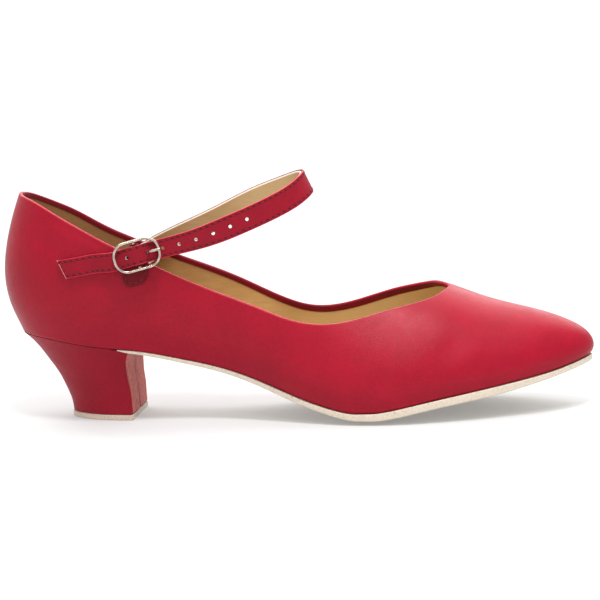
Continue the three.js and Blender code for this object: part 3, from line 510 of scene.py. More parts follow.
    def normal(self, side: Side, turn: Array, rise: Array) -> Array:
        """Outward normal of the outer face, from small steps along it and up it.

        Args:
            side: outer or inner side.
            turn: the sections.
            rise: how far up them.

        Returns:
            The normals.
        """
        turn, rise = np.broadcast_arrays(np.asarray(turn, float), np.asarray(rise, float))
        before, after = np.maximum(turn - TINY, 0.0), np.minimum(turn + TINY, 1.0)
        low, high = np.maximum(rise - TINY, 0.0), np.minimum(rise + TINY, 1.0 - TINY / 2.0)
        along = self.point(side, after, rise) - self.point(side, before, rise)
        up = self.point(side, turn, high) - self.point(side, turn, low)
        ends = ((turn < TINY) | (turn > 1.0 - TINY))[..., None]
        along = np.where(ends, np.array([0.0, 1.0, 0.0]), along)
        sign = np.where(turn < TINY, -1.0, np.where(turn > 1.0 - TINY, 1.0, -float(side.value)))
        side_normal = unit(np.cross(along, up)) * sign[..., None]
        return np.where((rise > 1.0 - TINY)[..., None], self.crown_normal(turn), side_normal)

    def cut_rise(self, side: Side, turn: Array, cut: Callable[[Side, Array], Array], throat: float) -> Array:
        """Highest rise of each section under a line seen from the side, found by halving.

        Args:
            side: outer or inner side.
            turn: the sections.
            cut: height of the line at x.
            throat: place on the crown line ahead of which sections reach it.

        Returns:
            The rise of each section's top.
        """
        low, high = np.zeros_like(turn), np.ones_like(turn)
        halvings = 40
        for _ in range(halvings):
            middle = (low + high) / 2.0
            point = self.point(side, turn, middle)
            above = point[..., 2] > cut(side, point[..., 0])
            high = np.where(above, middle, high)
            low = np.where(above, low, middle)
        closed = self.hub_x(self.feather_x(turn)) >= throat - 1e-6
        return np.where(closed, 1.0, low)

    def top_z(self, side: Side, x: Array) -> Array:
        """Height of the top line at x."""
        return self.back_height * self.top[side](x / self.shoe_length)

    def turn_at_hub(self, hub: float) -> float:
        """Turn of the section whose hub is at that place on the crown line."""
        turns = np.linspace(*self.vamp_turns, 4001)
        return float(np.interp(hub, self.hub_x(self.feather_x(turns)), turns))

    def face_at(self, side: Side, x: Array, z: Array) -> tuple[Array, Array]:
        """Point and normal of the outer face behind a place seen from the side, found by easing.

        Args:
            side: outer or inner side.
            x: places along the shoe.
            z: their heights.

        Returns:
            The points and the normals.
        """
        x, z = np.broadcast_arrays(np.asarray(x, float), np.asarray(z, float))
        turn, rise = self.turn_at_x(x), np.full(x.shape, 0.5)
        rounds, ease, lowest = 60, 0.7, 1e-4
        for _ in range(rounds):
            point = self.point(side, turn, rise)
            base = self.bed_z(point[..., 0], point[..., 1])
            rise = np.clip(rise + ease * (z - point[..., 2]) / (self.cone_height - base), lowest, 1.0)
            turn = self.turn_at_x(self.feather_x(turn) + ease * (x - point[..., 0]))
        return self.point(side, turn, rise), self.normal(side, turn, rise)

    def project(self, side: Side, targets: Array, turn: Array, rise: Array) -> tuple[Array, Array]:
        """Nearest points of the outer face to points close to it, by Gauss-Newton steps.

        Args:
            side: outer or inner side.
            targets: points close to the face.
            turn: first guess of the turns.
            rise: first guess of the rises.

        Returns:
            Points of the face, and its normals there.
        """
        draw = np.sqrt(np.maximum(0.0, 1.0 - rise ** self.shoulder(self.share_of(turn))))
        rounds, step, margin, turn_limit, draw_limit, widest = 8, 1e-5, 1e-4, 0.02, 0.2, 0.9995

        def place(at: Array, pull: Array) -> Array:
            """Point at a turn and a draw, whose rise is 1 - draw^2 to the power of 1 / shoulder."""
            power = self.shoulder(self.share_of(at))
            return self.point(side, at, np.maximum(0.0, 1.0 - pull * pull) ** (1.0 / power))

        for _ in range(rounds):
            here = place(turn, draw)
            by_turn = (place(turn + step, draw) - here) / step
            by_draw = (place(turn, draw + step) - here) / step
            off = targets - here
            aa, bb = (by_turn**2).sum(-1), (by_draw**2).sum(-1)
            ab = (by_turn * by_draw).sum(-1)
            pa, pb = (by_turn * off).sum(-1), (by_draw * off).sum(-1)
            room = np.maximum(aa * bb - ab * ab, 1e-9)
            on = np.clip((bb * pa - ab * pb) / room, -turn_limit, turn_limit)
            out = np.clip((aa * pb - ab * pa) / room, -draw_limit, draw_limit)
            turn = np.clip(turn + on, margin, 1.0 - margin)
            draw = np.clip(draw + out, 0.0, widest)
        here = place(turn, draw)
        by_turn = place(turn + margin, draw) - place(turn - margin, draw)
        by_draw = place(turn, draw + 2.0 * margin) - here
        normal = unit(np.cross(by_turn, by_draw)) * side.value
        flat = draw < 2.0 * margin
        return here, np.where(flat[..., None], self.crown_normal(turn), normal)


# Finishes


def linear(red: int, green: int, blue: int) -> tuple[float, float, float, float]:
    """A display colour of 0 to 255 as a linear colour with full cover."""
    parts = (((c / 255 + 0.055) / 1.055) ** 2.4 if c > 10 else c / 255 / 12.92 for c in (red, green, blue))
    return (*parts, 1.0)


class Weave:
    """A node material under construction, with one principled shader."""

    def __init__(self, name: str) -> None:
        """Starts an empty material of that name.

        Args:
            name: name of the material.
        """
        self.material = bpy.data.materials.new(name)
        self.material.use_nodes = True
        self.tree = self.material.node_tree
        self.tree.nodes.clear()
        self.shader = self.tree.nodes.new("ShaderNodeBsdfPrincipled")
        output = self.tree.nodes.new("ShaderNodeOutputMaterial")
        self.tree.links.new(self.shader.outputs[0], output.inputs["Surface"])
        self.place = self.tree.nodes.new("ShaderNodeTexCoord").outputs["Object"]

    def plain(self, **values: object) -> "Weave":
        """Sets numbers and colours that are the same all over on the shader's own sockets.

        Args:
            values: each socket's name, with _ for a space, and its value.

        Returns:
            The same material.
        """
        for name, value in values.items():
            self.shader.inputs[name.replace("_", " ")].default_value = value
        return self

    def feed(self, name: str, socket: Socket) -> None:
        """Links a socket into one of the shader's inputs."""
        self.tree.links.new(socket, self.shader.inputs[name])

    def fill(self, socket: Socket, value: object) -> None:
        """Gives an input a number or colour, or a link to another node's output.

        Args:
            socket: the input.
            value: a plain value, or the output to link.
        """
        if isinstance(value, Socket):
            self.tree.links.new(value, socket)
        else:
            socket.default_value = value

    def node(self, kind: str, inputs: dict[object, object], **settings: object) -> bpy.types.Node:
        """Adds a node, sets it, and fills its inputs with numbers or links.

        Args:
            kind: the node's type, without its prefix.
            inputs: value or link of each input.
            settings: the node's own settings.

        Returns:
            The new node.
        """
        made = self.tree.nodes.new("ShaderNode" + kind)
        for name, value in settings.items():
            setattr(made, name, value)
        for name, value in inputs.items():
            self.fill(made.inputs[name], value)
        return made

    def stretched(self, scale: Place) -> Socket:
        """The object's coordinates, scaled along each axis."""
        return self.node("Mapping", {"Vector": self.place, "Scale": scale}).outputs[0]

    def noise(self, size_mm: float, detail: float, rough: float, place: Socket | None = None) -> Socket:
        """Cloudy noise whose features are about size_mm across."""
        scale = 1.0 / (size_mm * MM)
        inputs = {"Vector": place or self.place, "Scale": scale, "Detail": detail, "Roughness": rough}
        return self.node("TexNoise", inputs).outputs["Fac"]

    def cells(self, size_mm: float) -> Socket:
        """Distance from the centres of cells about size_mm across."""
        inputs = {"Vector": self.place, "Scale": 1.0 / (size_mm * MM)}
        return self.node("TexVoronoi", inputs).outputs["Distance"]

    def attribute(self, name: str) -> Socket:
        """A number stored at the piece's points."""
        return self.node("Attribute", {}, attribute_name=name).outputs["Fac"]

    def ranged(self, value: Socket, low: float, high: float, to_low: float = 0.0,
               to_high: float = 1.0) -> Socket:
        """Maps a value from low..high to another range, held at its ends."""
        inputs = {"Value": value, "From Min": low, "From Max": high, "To Min": to_low, "To Max": to_high}
        return self.node("MapRange", inputs).outputs[0]

    def math(self, operation: str, first: object, second: object) -> Socket:
        """One sum or product of two values."""
        return self.node("Math", {0: first, 1: second}, operation=operation).outputs[0]

    def blend(self, share: Socket, first: object, second: object) -> Socket:
        """Mixes two colours by a share.

        Args:
            share: 0 for the first to 1 for the second.
            first: a colour or a link.
            second: a colour or a link.

        Returns:
            The mixed colour.
        """
        mixer = self.node("Mix", {0: share}, data_type="RGBA")
        first_input, second_input, result = 6, 7, 2
        for index, value in ((first_input, first), (second_input, second)):
            self.fill(mixer.inputs[index], value)
        return mixer.outputs[result]

    def bump(self, height: Socket, depth_mm: float, strength: float, under: Socket | None = None) -> Socket:
        """Turns a height of 0 to 1 into a bumped normal of that depth.

        Args:
            height: the height.
            depth_mm: its depth.
            strength: how much it turns normals.
            under: a bumped normal that it lies on.

        Returns:
            The bumped normal.
        """
        inputs: dict[object, object] = {"Height": height, "Distance": depth_mm * MM, "Strength": strength}
        if under is not None:
            inputs["Normal"] = under
        return self.node("Bump", inputs).outputs[0]


@dataclass(frozen=True)
class GrainLeather:
    """Smooth dyed leather: two close shades in clouds, a fine pebbled grain and a satin topcoat."""

    name: str
    shade: Colour
    deep: Colour
    roughness: float = 0.4
    grain_mm: float = 0.55
    grain_depth_mm: float = 0.08
    coat: float = 0.05
    cloud_mm: float = 14.0

    def material(self) -> Material:
        """Builds the material.

        Returns:
            The material.
        """
        weave = Weave(self.name)
        weave.plain(Coat_Weight=self.coat, Coat_Roughness=0.35, Specular_IOR_Level=0.17)
        clouds = weave.ranged(weave.noise(self.cloud_mm, 4.0, 0.55), 0.35, 0.65, 0.0, 0.5)
        fine = weave.ranged(weave.noise(1.4, 4.0, 0.6), 0.35, 0.65, 0.0, 0.5)
        share = weave.math("ADD", clouds, fine)
        weave.feed("Base Color", weave.blend(share, linear(*self.deep), linear(*self.shade)))
        smooth, dull = self.roughness - 0.05, self.roughness + 0.06
        weave.feed("Roughness", weave.ranged(weave.noise(5.0, 5.0, 0.6), 0.3, 0.7, smooth, dull))
        pebbles = weave.ranged(weave.cells(self.grain_mm), 0.0, 0.75, 1.0, 0.0)
        grained = weave.bump(pebbles, self.grain_depth_mm, 0.35)
        rough = weave.bump(weave.noise(0.35, 3.0, 0.6), self.grain_depth_mm, 0.3, grained)
        soft = weave.bump(weave.noise(9.0, 2.0, 0.5), 0.3, 0.3, rough)
        weave.feed("Normal", soft)
        return weave.material


@dataclass(frozen=True)
class LiningLeather:
    """Undyed lining: tan and finely streaked along the shoe, with painted shade at the back, painted light at
    the front and a painted shadow line under the fold.
    """

    name: str
    shade: Colour
    deep: Colour
    shadow: Colour
    # Colour of the painted shade towards the back.
    marks_and_shade: Colour = (128, 84, 54)
    # Colour of the painted light towards the front.
    pale: Colour = (214, 188, 140)
    rear_shade_share: float = 0.7
    front_light_share: float = 0.75
    line_mm: float = 2.2

    def material(self) -> Material:
        """Builds the material.

        Returns:
            The material.
        """
        weave = Weave(self.name)
        weave.plain(Specular_IOR_Level=0.25)
        streaks = weave.noise(1.0, 5.0, 0.65, weave.stretched((0.10, 0.8, 1.0)))
        clouds = weave.ranged(weave.noise(20.0, 3.0, 0.5), 0.35, 0.65, 0.0, 0.4)
        share = weave.math("ADD", weave.ranged(streaks, 0.3, 0.7, 0.0, 0.6), clouds)
        tan = weave.blend(share, linear(*self.deep), linear(*self.shade))
        along = weave.node("SeparateXYZ", {"Vector": weave.place}).outputs[0]
        # Painted shade: darker towards the back, behind x = 0.06 m.
        rear = weave.ranged(along, 0.06, 0.0, 0.0, self.rear_shade_share)
        tan = weave.blend(rear, tan, linear(*self.marks_and_shade))
        # Painted light: paler towards the front, from x = 0.05 to 0.12 m.
        front = weave.ranged(along, 0.05, 0.12, 0.0, self.front_light_share)
        tan = weave.blend(front, tan, linear(*self.pale))
        # Painted shadow: a dark line on the lining just below the fold.
        drop = weave.attribute("drop")
        near = weave.ranged(drop, self.line_mm, self.line_mm + 0.5, 0.5, 0.0)
        weave.feed("Base Color", weave.blend(near, tan, linear(*self.shadow)))
        weave.feed("Roughness", weave.ranged(streaks, 0.3, 0.7, 0.55, 0.75))
        grained = weave.bump(weave.ranged(weave.cells(0.5), 0.0, 0.7, 1.0, 0.0), 0.05, 0.35)
        weave.feed("Normal", weave.bump(streaks, 0.10, 0.5, grained))
        return weave.material


@dataclass(frozen=True)
class RawHide:
    """Split hide or fibre: napped, speckled, with rubbed marks towards its upper edge."""

    name: str
    shade: Colour
    deep: Colour
    mark: Colour
    nap_depth_mm: float = 0.25
    marks: float = 0.5

    def material(self) -> Material:
        """Builds the material.

        Returns:
            The material.
        """
        weave = Weave(self.name)
        weave.plain(Specular_IOR_Level=0.12, Sheen_Weight=0.25, Sheen_Roughness=0.6)
        nap = weave.noise(0.45, 6.0, 0.75)
        clouds = weave.noise(6.0, 4.0, 0.6)
        body = weave.blend(weave.ranged(nap, 0.3, 0.7), linear(*self.deep), linear(*self.shade))
        spots = weave.ranged(weave.noise(1.1, 6.0, 0.8), 0.52, 0.7)
        marks_and_shade = weave.math("MULTIPLY", spots, weave.ranged(clouds, 0.4, 0.62, 0.0, self.marks))
        edge = weave.ranged(weave.attribute("edge"), 0.0, 1.0)
        marked = weave.math("MAXIMUM", marks_and_shade, weave.math("MULTIPLY", edge, spots))
        weave.feed("Base Color", weave.blend(marked, body, linear(*self.mark)))
        weave.feed("Roughness", weave.ranged(nap, 0.2, 0.8, 0.85, 1.0))
        weave.feed("Normal", weave.bump(nap, self.nap_depth_mm, 0.6, weave.bump(clouds, 0.3, 0.3)))
        return weave.material


@dataclass(frozen=True)
class PlatedMetal:
    """Polished nickel plate with fine scratches and a faint haze."""

    name: str
    shade: Colour
    roughness: float = 0.14
    haze_shade: float = 0.82

    def material(self) -> Material:
        """Builds the material.

        Returns:
            The material.
        """
        weave = Weave(self.name)
        weave.plain(Metallic=1.0)
        scratches = weave.noise(0.35, 4.0, 0.7, weave.stretched((0.3, 2.5, 1.0)))
        haze = weave.noise(3.0, 3.0, 0.6)
        dull = tuple(int(part * self.haze_shade) for part in self.shade)
        share = weave.ranged(haze, 0.42, 0.6)
        weave.feed("Base Color", weave.blend(share, linear(*self.shade), linear(*dull)))
        weave.feed("Roughness", weave.ranged(haze, 0.3, 0.7, self.roughness - 0.05, self.roughness + 0.08))
        weave.feed("Normal", weave.bump(scratches, 0.004, 0.2))
        return weave.material


@dataclass(frozen=True)
class Thread:
    """Waxed sewing thread with a slight fuzz."""

    name: str
    shade: Colour
    twist_shade: float = 0.6

    def material(self) -> Material:
        """Builds the material.

        Returns:
            The material.
        """
        weave = Weave(self.name)
        weave.plain(Specular_IOR_Level=0.3, Roughness=0.6)
        twist = weave.noise(0.25, 2.0, 0.5)
        dark = tuple(int(part * self.twist_shade) for part in self.shade)
        share = weave.ranged(twist, 0.3, 0.7)
        weave.feed("Base Color", weave.blend(share, linear(*dark), linear(*self.shade)))
        weave.feed("Normal", weave.bump(twist, 0.05, 0.8))
        return weave.material


class Finishes:
    """Every finish of the shoe, built once."""

    def __init__(self) -> None:
        """Builds the materials."""
        self.leather = GrainLeather("satin_leather", (155, 2, 34), (139, 2, 29)).material()
        self.heel = GrainLeather("heel_cover_leather", (146, 3, 32), (130, 2, 27), roughness=0.5).material()
        # The red leather of the breast cover, made pink by painted bounce light from the floor.
        self.breast = GrainLeather("breast_leather_bounce_lit", (200, 116, 108), (166, 82, 80), roughness=0.7,
                                   grain_mm=0.4, grain_depth_mm=0.12, coat=0.0, cloud_mm=2.2).material()
        self.strap = GrainLeather("strap_leather", (142, 3, 31), (126, 2, 26), roughness=0.5,
                                  grain_mm=0.45, grain_depth_mm=0.05, cloud_mm=8.0).material()
        # A lighter copy of the red leather: painted highlight on the near long edges of the strap and the
        # outer lip of the top line.
        self.edge_highlight = GrainLeather("edge_highlight_leather", (196, 40, 62), (176, 30, 52), roughness=0.42,
                                       grain_mm=0.4, grain_depth_mm=0.03).material()
        # Near black: painted shade of the needle holes and of the gap between the breast halves.
        self.needle_hole_shade = Thread("needle_hole_shade", (52, 2, 12)).material()
        # A darker copy of the red leather, a painted shade: inside the fold, on the far strap edges, on the
        # hole rims and on the buckle tab.
        self.fold = GrainLeather("shaded_red_leather", (112, 5, 22), (98, 4, 18), roughness=0.55,
                                 grain_mm=0.45, grain_depth_mm=0.05, coat=0.0, cloud_mm=8.0).material()
        self.cut_edge = RawHide("cut_leather_edge", (226, 160, 156), (200, 108, 114), (166, 62, 74),
                                nap_depth_mm=0.1, marks=0.2).material()
        # Its last colour is the painted shadow line under the fold; the sock and strap lining repeat their
        # deep colour there, so they get none.
        self.lining = LiningLeather("tan_lining", (208, 170, 114), (184, 144, 90), (88, 48, 32)).material()
        self.sock = LiningLeather("tan_sock", (188, 150, 92), (168, 130, 74), (168, 130, 74)).material()
        self.strap_lining = LiningLeather("strap_lining", (188, 158, 116), (168, 136, 92),
                                          (168, 136, 92)).material()
        self.lining_edge = RawHide("lining_cut_edge", (246, 236, 220), (228, 212, 190), (206, 180, 150),
                                   nap_depth_mm=0.06, marks=0.1).material()
        self.hole_wall = RawHide("hole_wall", (244, 220, 214), (224, 186, 184), (200, 140, 140),
                                 nap_depth_mm=0.05, marks=0.1).material()
        self.sole = RawHide("sole_suede", (222, 210, 192), (188, 174, 156), (128, 108, 98)).material()
        self.top_piece = RawHide("top_piece_fibre", (218, 202, 186), (184, 162, 146), (96, 60, 58),
                                 nap_depth_mm=0.2, marks=0.9).material()
        self.metal = PlatedMetal("nickel_plate", (208, 196, 182)).material()
        self.red_thread = Thread("red_thread", (150, 10, 34)).material()


# Upper


@dataclass
class Upper:
    """The upper: outer leather, its folded top line, the lining and the sock."""

    last: Last
    finishes: Finishes
    wall: float = 1.9
    leather_depth: float = 1.0
    lining_depth: float = 1.06
    margin_width: float = 7.0
    margin_thickness: float = 1.2
    feather_radius: float = 1.0
    shell_drop: float = 0.85
    lining_drop: float = 1.75
    fold_depth: float = 2.15
    fold_stretch: float = 1.1
    open_columns: int = 150
    vamp_columns: int = 84
    rim_samples: int = 700
    rim_step: float = 0.75
    widen_from: float = 60.0
    widen_to: float = 185.0
    fade_from: float = 0.8
    fade_to: float = 5.0
    lining_foot: float = 0.5
    sock_thickness: float = 1.8
    sock_clearance: float = 0.2
    # Start x and z, end x and z, width and rise of each crease.
    creases: tuple[tuple[float, ...], ...] = (
        (24.0, 85.0, 46.0, 75.5, 2.6, 0.38), (16.0, 80.0, 27.0, 75.0, 2.2, -0.22),
        (176.0, 12.0, 194.0, 32.0, 5.0, -0.24), (186.0, 10.0, 203.0, 28.0, 4.5, 0.16),
        (62.0, 50.0, 92.0, 38.0, 5.0, -0.24),
    )
    rim: dict[str, Array] = field(default_factory=dict)

    def lay_rim(self) -> None:
        """Walks the top line once round, from the back along the outer side to the throat and back.

        At each place it finds the outward normal and the direction across the top line, down into the
        leather, which is the tangent crossed with the normal.
        """
        throat_turn = self.last.turn_at_x(self.last.throat_at)
        turns = throat_turn * (1.0 - (1.0 - np.linspace(0.0, 1.0, self.rim_samples)) ** 2)
        sides = {}
        for side in Side:
            rises = self.last.cut_rise(side, turns, self.last.top_z, self.last.throat_at)
            line, normal = self.last.point(side, turns, rises), self.last.normal(side, turns, rises)
            sides[side] = (line, normal, turns, rises)
        loop = [np.concatenate([a, b[::-1][1:-1]]) for a, b in zip(sides[Side.OUTER], sides[Side.INNER])]
        lengths = np.concatenate([[0.0], np.cumsum(np.linalg.norm(np.diff(loop[0], axis=0), axis=1))])
        closing = float(np.linalg.norm(loop[0][0] - loop[0][-1]))
        whole = lengths[-1] + closing
        count = int(whole / self.rim_step)
        at = np.arange(count) * whole / count
        padded = np.append(lengths, whole)

        def along(values: Array) -> Array:
            """Reads values of the closed loop at even steps along it, straight between their places.

            Args:
                values: a number or a point at each of the loop's places.

            Returns:
                The values at the even steps.
            """
            around = np.concatenate([values, values[:1]])
            if around.ndim == 1:
                return np.interp(at, padded, around)
            return np.stack([np.interp(at, padded, around[:, k]) for k in range(3)], axis=-1)

        line, normal = along(loop[0]), unit(along(loop[1]))
        normal = unit(self.smoothed(normal, 3))
        tangent = unit(np.roll(line, -1, 0) - np.roll(line, 1, 0))
        down = unit(np.cross(tangent, normal))
        if down[0, 2] > 0:
            down = -down
        side = np.where(line[:, 1] < self.last.axis_y(line[:, 0]), Side.OUTER.value, Side.INNER.value)
        self.rim = {"line": line, "normal": normal, "down": down, "side": side,
                    "turn": along(loop[2]), "rise": along(loop[3])}

    @staticmethod
    def smoothed(values: Array, passes: int) -> Array:
        """Averages each value of a closed row with its neighbours."""
        for _ in range(passes):
            values = (np.roll(values, 1, 0) + 2.0 * values + np.roll(values, -1, 0)) / 4.0
        return values

    def face_below(self, drop: float | Array) -> tuple[Array, Array]:
        """Points and normals of the outer face at a distance below the top line, all round it.

        Args:
            drop: the distance, or one for each place.

        Returns:
            The points and the normals.
        """
        target = self.rim["line"] + np.broadcast_to(drop, len(self.rim["line"]))[:, None] * self.rim["down"]
        points, normals = target.copy(), self.rim["normal"].copy()
        for side in Side:
            mine = self.rim["side"] == side.value
            turn, rise = self.rim["turn"][mine], self.rim["rise"][mine]
            points[mine], normals[mine] = self.last.project(side, target[mine], turn, rise)
        return points, unit(self.smoothed(normals, 2))

    def cut_below(self, drop: float) -> tuple[Callable[[Side, Array], Array], float]:
        """The side view line that runs a distance below the top line, and its throat.

        Args:
            drop: the distance.

        Returns:
            The line's height at a side and x, and its throat's x.
        """
        points, _ = self.face_below(drop)
        throat = float(points[:, 0].max())
        lines = {}
        for side in Side:
            mine = points[self.rim["side"] == side.value]
            order = np.argsort(mine[:, 0])
            lines[side] = (mine[order, 0], mine[order, 2])

        def height(side: Side, x: Array) -> Array:
            """Height of the line at x, straight between its places."""
            return np.interp(x, *lines[side])

        return height, throat

    def columns(self, throat: float) -> Array:
        """Turns of the sections: crowded towards the throat, then spreading out to the toe.

        Args:
            throat: the throat's place along the shoe.

        Returns:
            The turns, from back to toe.
        """
        throat_turn = self.last.turn_at_hub(throat)
        opened = throat_turn * (1.0 - (1.0 - np.arange(self.open_columns) / self.open_columns) ** 2)
        ahead = (np.arange(self.vamp_columns + 1) / self.vamp_columns) ** 1.5
        return np.concatenate([opened, throat_turn + (1.0 - throat_turn) * ahead])

    def inset(self, side: Side, turn: Array, inset: float, lift: float) -> Array:
        """Points over the bottom, set in from its edge towards the hub and lifted off it.

        Args:
            side: outer or inner side.
            turn: the sections.
            inset: how far in.
            lift: how far up.

        Returns:
            The points.
        """
        foot_x, foot_y = self.last.feather(side, turn)
        hub = self.last.hub_x(foot_x)
        way = unit(np.stack([hub - foot_x, self.last.axis_y(hub) - foot_y], axis=-1))
        x, y = foot_x + way[..., 0] * inset, foot_y + way[..., 1] * inset
        return xyz(x, y, self.last.bed_z(x, y) + lift)

    def foot(self, side: Side, turns: Array, height: Array) -> list[Array]:
        """The lasting margin under the foot and the quarter circle round the bottom edge.

        Args:
            side: outer or inner side.
            turns: the sections.
            height: height of the crown over each section's bottom edge.

        Returns:
            Rows of points, from the margin's edge outwards.
        """
        rows = [self.inset(side, turns, inset, 0.0) for inset in (self.margin_width, 5.0, 3.0, 1.8)]
        foot_x, foot_y = self.last.feather(side, turns)
        hub = self.last.hub_x(foot_x)
        way = unit(xyz(hub, self.last.axis_y(hub), 0.0) - xyz(foot_x, foot_y, 0.0))
        for angle in np.linspace(0.0, math.pi / 2.0, 7)[:-1]:
            lift = self.feather_radius * (1.0 - math.cos(angle))
            edge = self.last.point(side, turns, lift / height)
            rows.append(edge + way * self.feather_radius * (1.0 - math.sin(angle)))
        return rows

    def shell(self, outer: float, inner: float, drop: float, rows: int, back_rows: int,
              underside: bool) -> Skin:
        """A layer of the wall between two depths, from under the foot up to just below the top line.

        Each section is one closed ring: the underside margin, a quarter circle round the bottom edge,
        the outer face up to its cut, and the inner face down again. Neighbouring rings are joined, and
        ahead of the throat both sides share their points on the crown line.

        Args:
            outer: depth of the layer's outer face below the last's face.
            inner: depth of its inner face.
            drop: how far below the top line it ends.
            rows: rows of points on the outer face.
            back_rows: rows of points on the inner face.
            underside: includes the lasting margin under the foot.

        Returns:
            The layer as a closed skin.
        """
        cut, throat = self.cut_below(drop)
        turns = self.columns(throat)
        rings = []
        for side in Side:
            top = self.last.cut_rise(side, turns, cut, throat)
            top[self.open_columns:] = 1.0
            ends = self.last.point(side, turns, top)[:, 2]
            foot_x, foot_y = self.last.feather(side, turns)
            height = self.last.cone_height * self.last.crown_line(foot_x / self.last.shoe_length)
            height = height - self.last.bed_z(foot_x, foot_y)
            ring = self.foot(side, turns, height) if underside else []
            start = self.feather_radius if underside else self.margin_thickness + self.last.gap
            angles = np.arcsin(np.clip(start / height, 0.0, 1.0))
            for row in range(rows + 1):
                rise = np.sin(mix(angles, np.arcsin(top), row / rows))
                place = self.last.point(side, turns, rise)
                raised = self.creased(side, place, ends) if underside else np.zeros(len(turns))
                ring.append(place - (outer - raised)[:, None] * self.last.normal(side, turns, rise))
            peak = len(ring) - 1
            foot = self.margin_thickness + (inner if underside else self.lining_foot)
            low = np.arcsin(np.clip(foot / height, 0.0, 1.0))
            for row in range(back_rows, -1, -1):
                rise = np.sin(mix(low, np.arcsin(top), row / back_rows))
                ring.append(self.last.point(side, turns, rise) - inner * self.last.normal(side, turns, rise))
            if underside:
                for inset in (inner + 1.0, self.margin_width):
                    ring.append(self.inset(side, turns, inset, self.margin_thickness))
            rings.append(np.stack(ring, axis=1))
        around = np.concatenate([rings[0], rings[1][-2:0:-1]])
        size, width = around.shape[:2]
        quads = grid_quads(size, width, wrap_rows=True, wrap_columns=True)
        column, row = quads[:, 0] // width, quads[:, 0] % width
        middle = np.minimum(column + 0.5, size - column - 0.5)
        quads = quads[~((middle > self.open_columns) & (row == peak))]
        points = around.reshape(-1, 3)
        if signed_volume(points - points.mean(0), quads) < 0:
            quads = quads[:, ::-1]
        return Skin(points, quads.tolist(), np.zeros(len(quads), int))

    def fold_profile(self) -> Array:
        """Section of the folded edge: distance below the top line, depth under the outer face, and stretch.

        A half circle as wide as the wall, a short tongue under the outer leather, and a longer leg
        down the inside that stands a little proud of the lining. The leg's stretch is added in full
        where the fold is widest.

        Returns:
            One row for each point of the section.
        """
        half, leg = self.wall / 2.0, self.fold_depth
        angles = np.linspace(0.0, math.pi, 13)
        arc = np.stack([half - half * np.sin(angles), half - half * np.cos(angles), 0.0 * angles], axis=-1)
        inner = [(1.3, 1.98, 0.2), (leg - 0.55, 2.05, 0.6), (leg - 0.3, 2.10, 0.9), (leg - 0.14, 2.12, 1.0),
                 (leg - 0.04, 2.08, 1.0), (leg, 1.98, 1.0), (leg - 0.02, 1.80, 1.0), (leg - 0.3, 1.66, 1.0),
                 (1.65, 1.55, 0.2), (1.6, 1.0, 0.0), (1.9, 0.5, 0.0)]
        outer = [(2.2, 0.30, 0.0), (2.2, 0.16, 0.0), (1.6, 0.06, 0.0)]
        return np.concatenate([arc, np.array(inner), np.array(outer)])

    def fold(self) -> Skin:
        """Carries the fold's section round the top line, each of its points measured on the outer face.

        Returns:
            The fold, with its faces of painted shade and, on the outer side, its faces of painted highlight
            in the next two material slots.
        """
        wide = self.fold_stretch * self.widening(self.rim["line"][:, 0])
        ring = []
        for drop, depth, stretch in self.fold_profile():
            point, normal = self.face_below(drop + stretch * wide)
            ring.append(point - depth * normal)
        skin = Skin.of_rings(np.stack(ring, axis=1), wrap=True)
        painted_shade_slot, painted_highlight_slot = 1, 2
        highlight_from, shade_from, shade_to = 3, 8, 24
        column = np.arange(len(skin.finish)) % len(ring)
        # Painted shade: the inside of the fold, in the darker copy of the leather.
        skin.finish[(column >= shade_from) & (column < shade_to)] = painted_shade_slot
        outer_side = np.repeat(self.rim["side"] == Side.OUTER.value, len(ring))
        # Painted highlight: the fold's lip on the outer side, in the lighter copy of the leather.
        skin.finish[(column >= highlight_from) & (column < shade_from) & outer_side] = painted_highlight_slot
        return skin

    def creased(self, side: Side, points: Array, ends: Array) -> Array:
        """Height in mm of the soft ridges and troughs that are listed for the outer side.

        Each is a hill of e to the minus square of the distance from its line, and all fade out
        towards the top line.

        Args:
            side: the side that the points are on.
            points: places on the outer face.
            ends: height of the top line above each of them.

        Returns:
            How far each point is raised, or sunk where it is negative.
        """
        x, z = points[:, 0], points[:, 2]
        height = np.zeros(len(points))
        if side is Side.INNER:
            return height
        for start_x, start_z, end_x, end_z, width, rise in self.creases:
            run_x, run_z = end_x - start_x, end_z - start_z
            share = ((x - start_x) * run_x + (z - start_z) * run_z) / (run_x**2 + run_z**2)
            held = np.clip(share, 0.0, 1.0)
            away = np.hypot(x - start_x - held * run_x, z - start_z - held * run_z)
            height += rise * np.exp(-((away / width) ** 2))
        return height * smooth_step(self.fade_from, self.fade_to, ends - z)

    def widening(self, x: Array) -> Array:
        """Share of the fold's stretch at x: none at the back, all of it towards the throat."""
        return smooth_step(self.widen_from, self.widen_to, x)

    def sock(self) -> Skin:
        """The sock: strips across the inside of the shoe, slightly hollowed, with rounded edges.

        Returns:
            The sock as a closed skin.
        """
        turns = np.linspace(0.004, 0.996, 120)
        level, inset = self.margin_thickness + self.last.gap, self.wall + self.sock_clearance
        return sole_skin(self.last, turns, lambda x: np.full_like(x, -inset),
                         lambda x, y: self.last.bed_z(x, y) + level + self.sock_thickness,
                         lambda x, y: self.last.bed_z(x, y) + level, 0.5)

    def build(self) -> list[Piece]:
        """Makes the pieces of the upper.

        Returns:
            The new objects.
        """
        self.lay_rim()
        finishes = self.finishes
        leather_skin = self.shell(0.0, self.leather_depth, self.shell_drop, 56, 12, True)
        leather = make_piece("upper_leather", leather_skin, [finishes.leather])
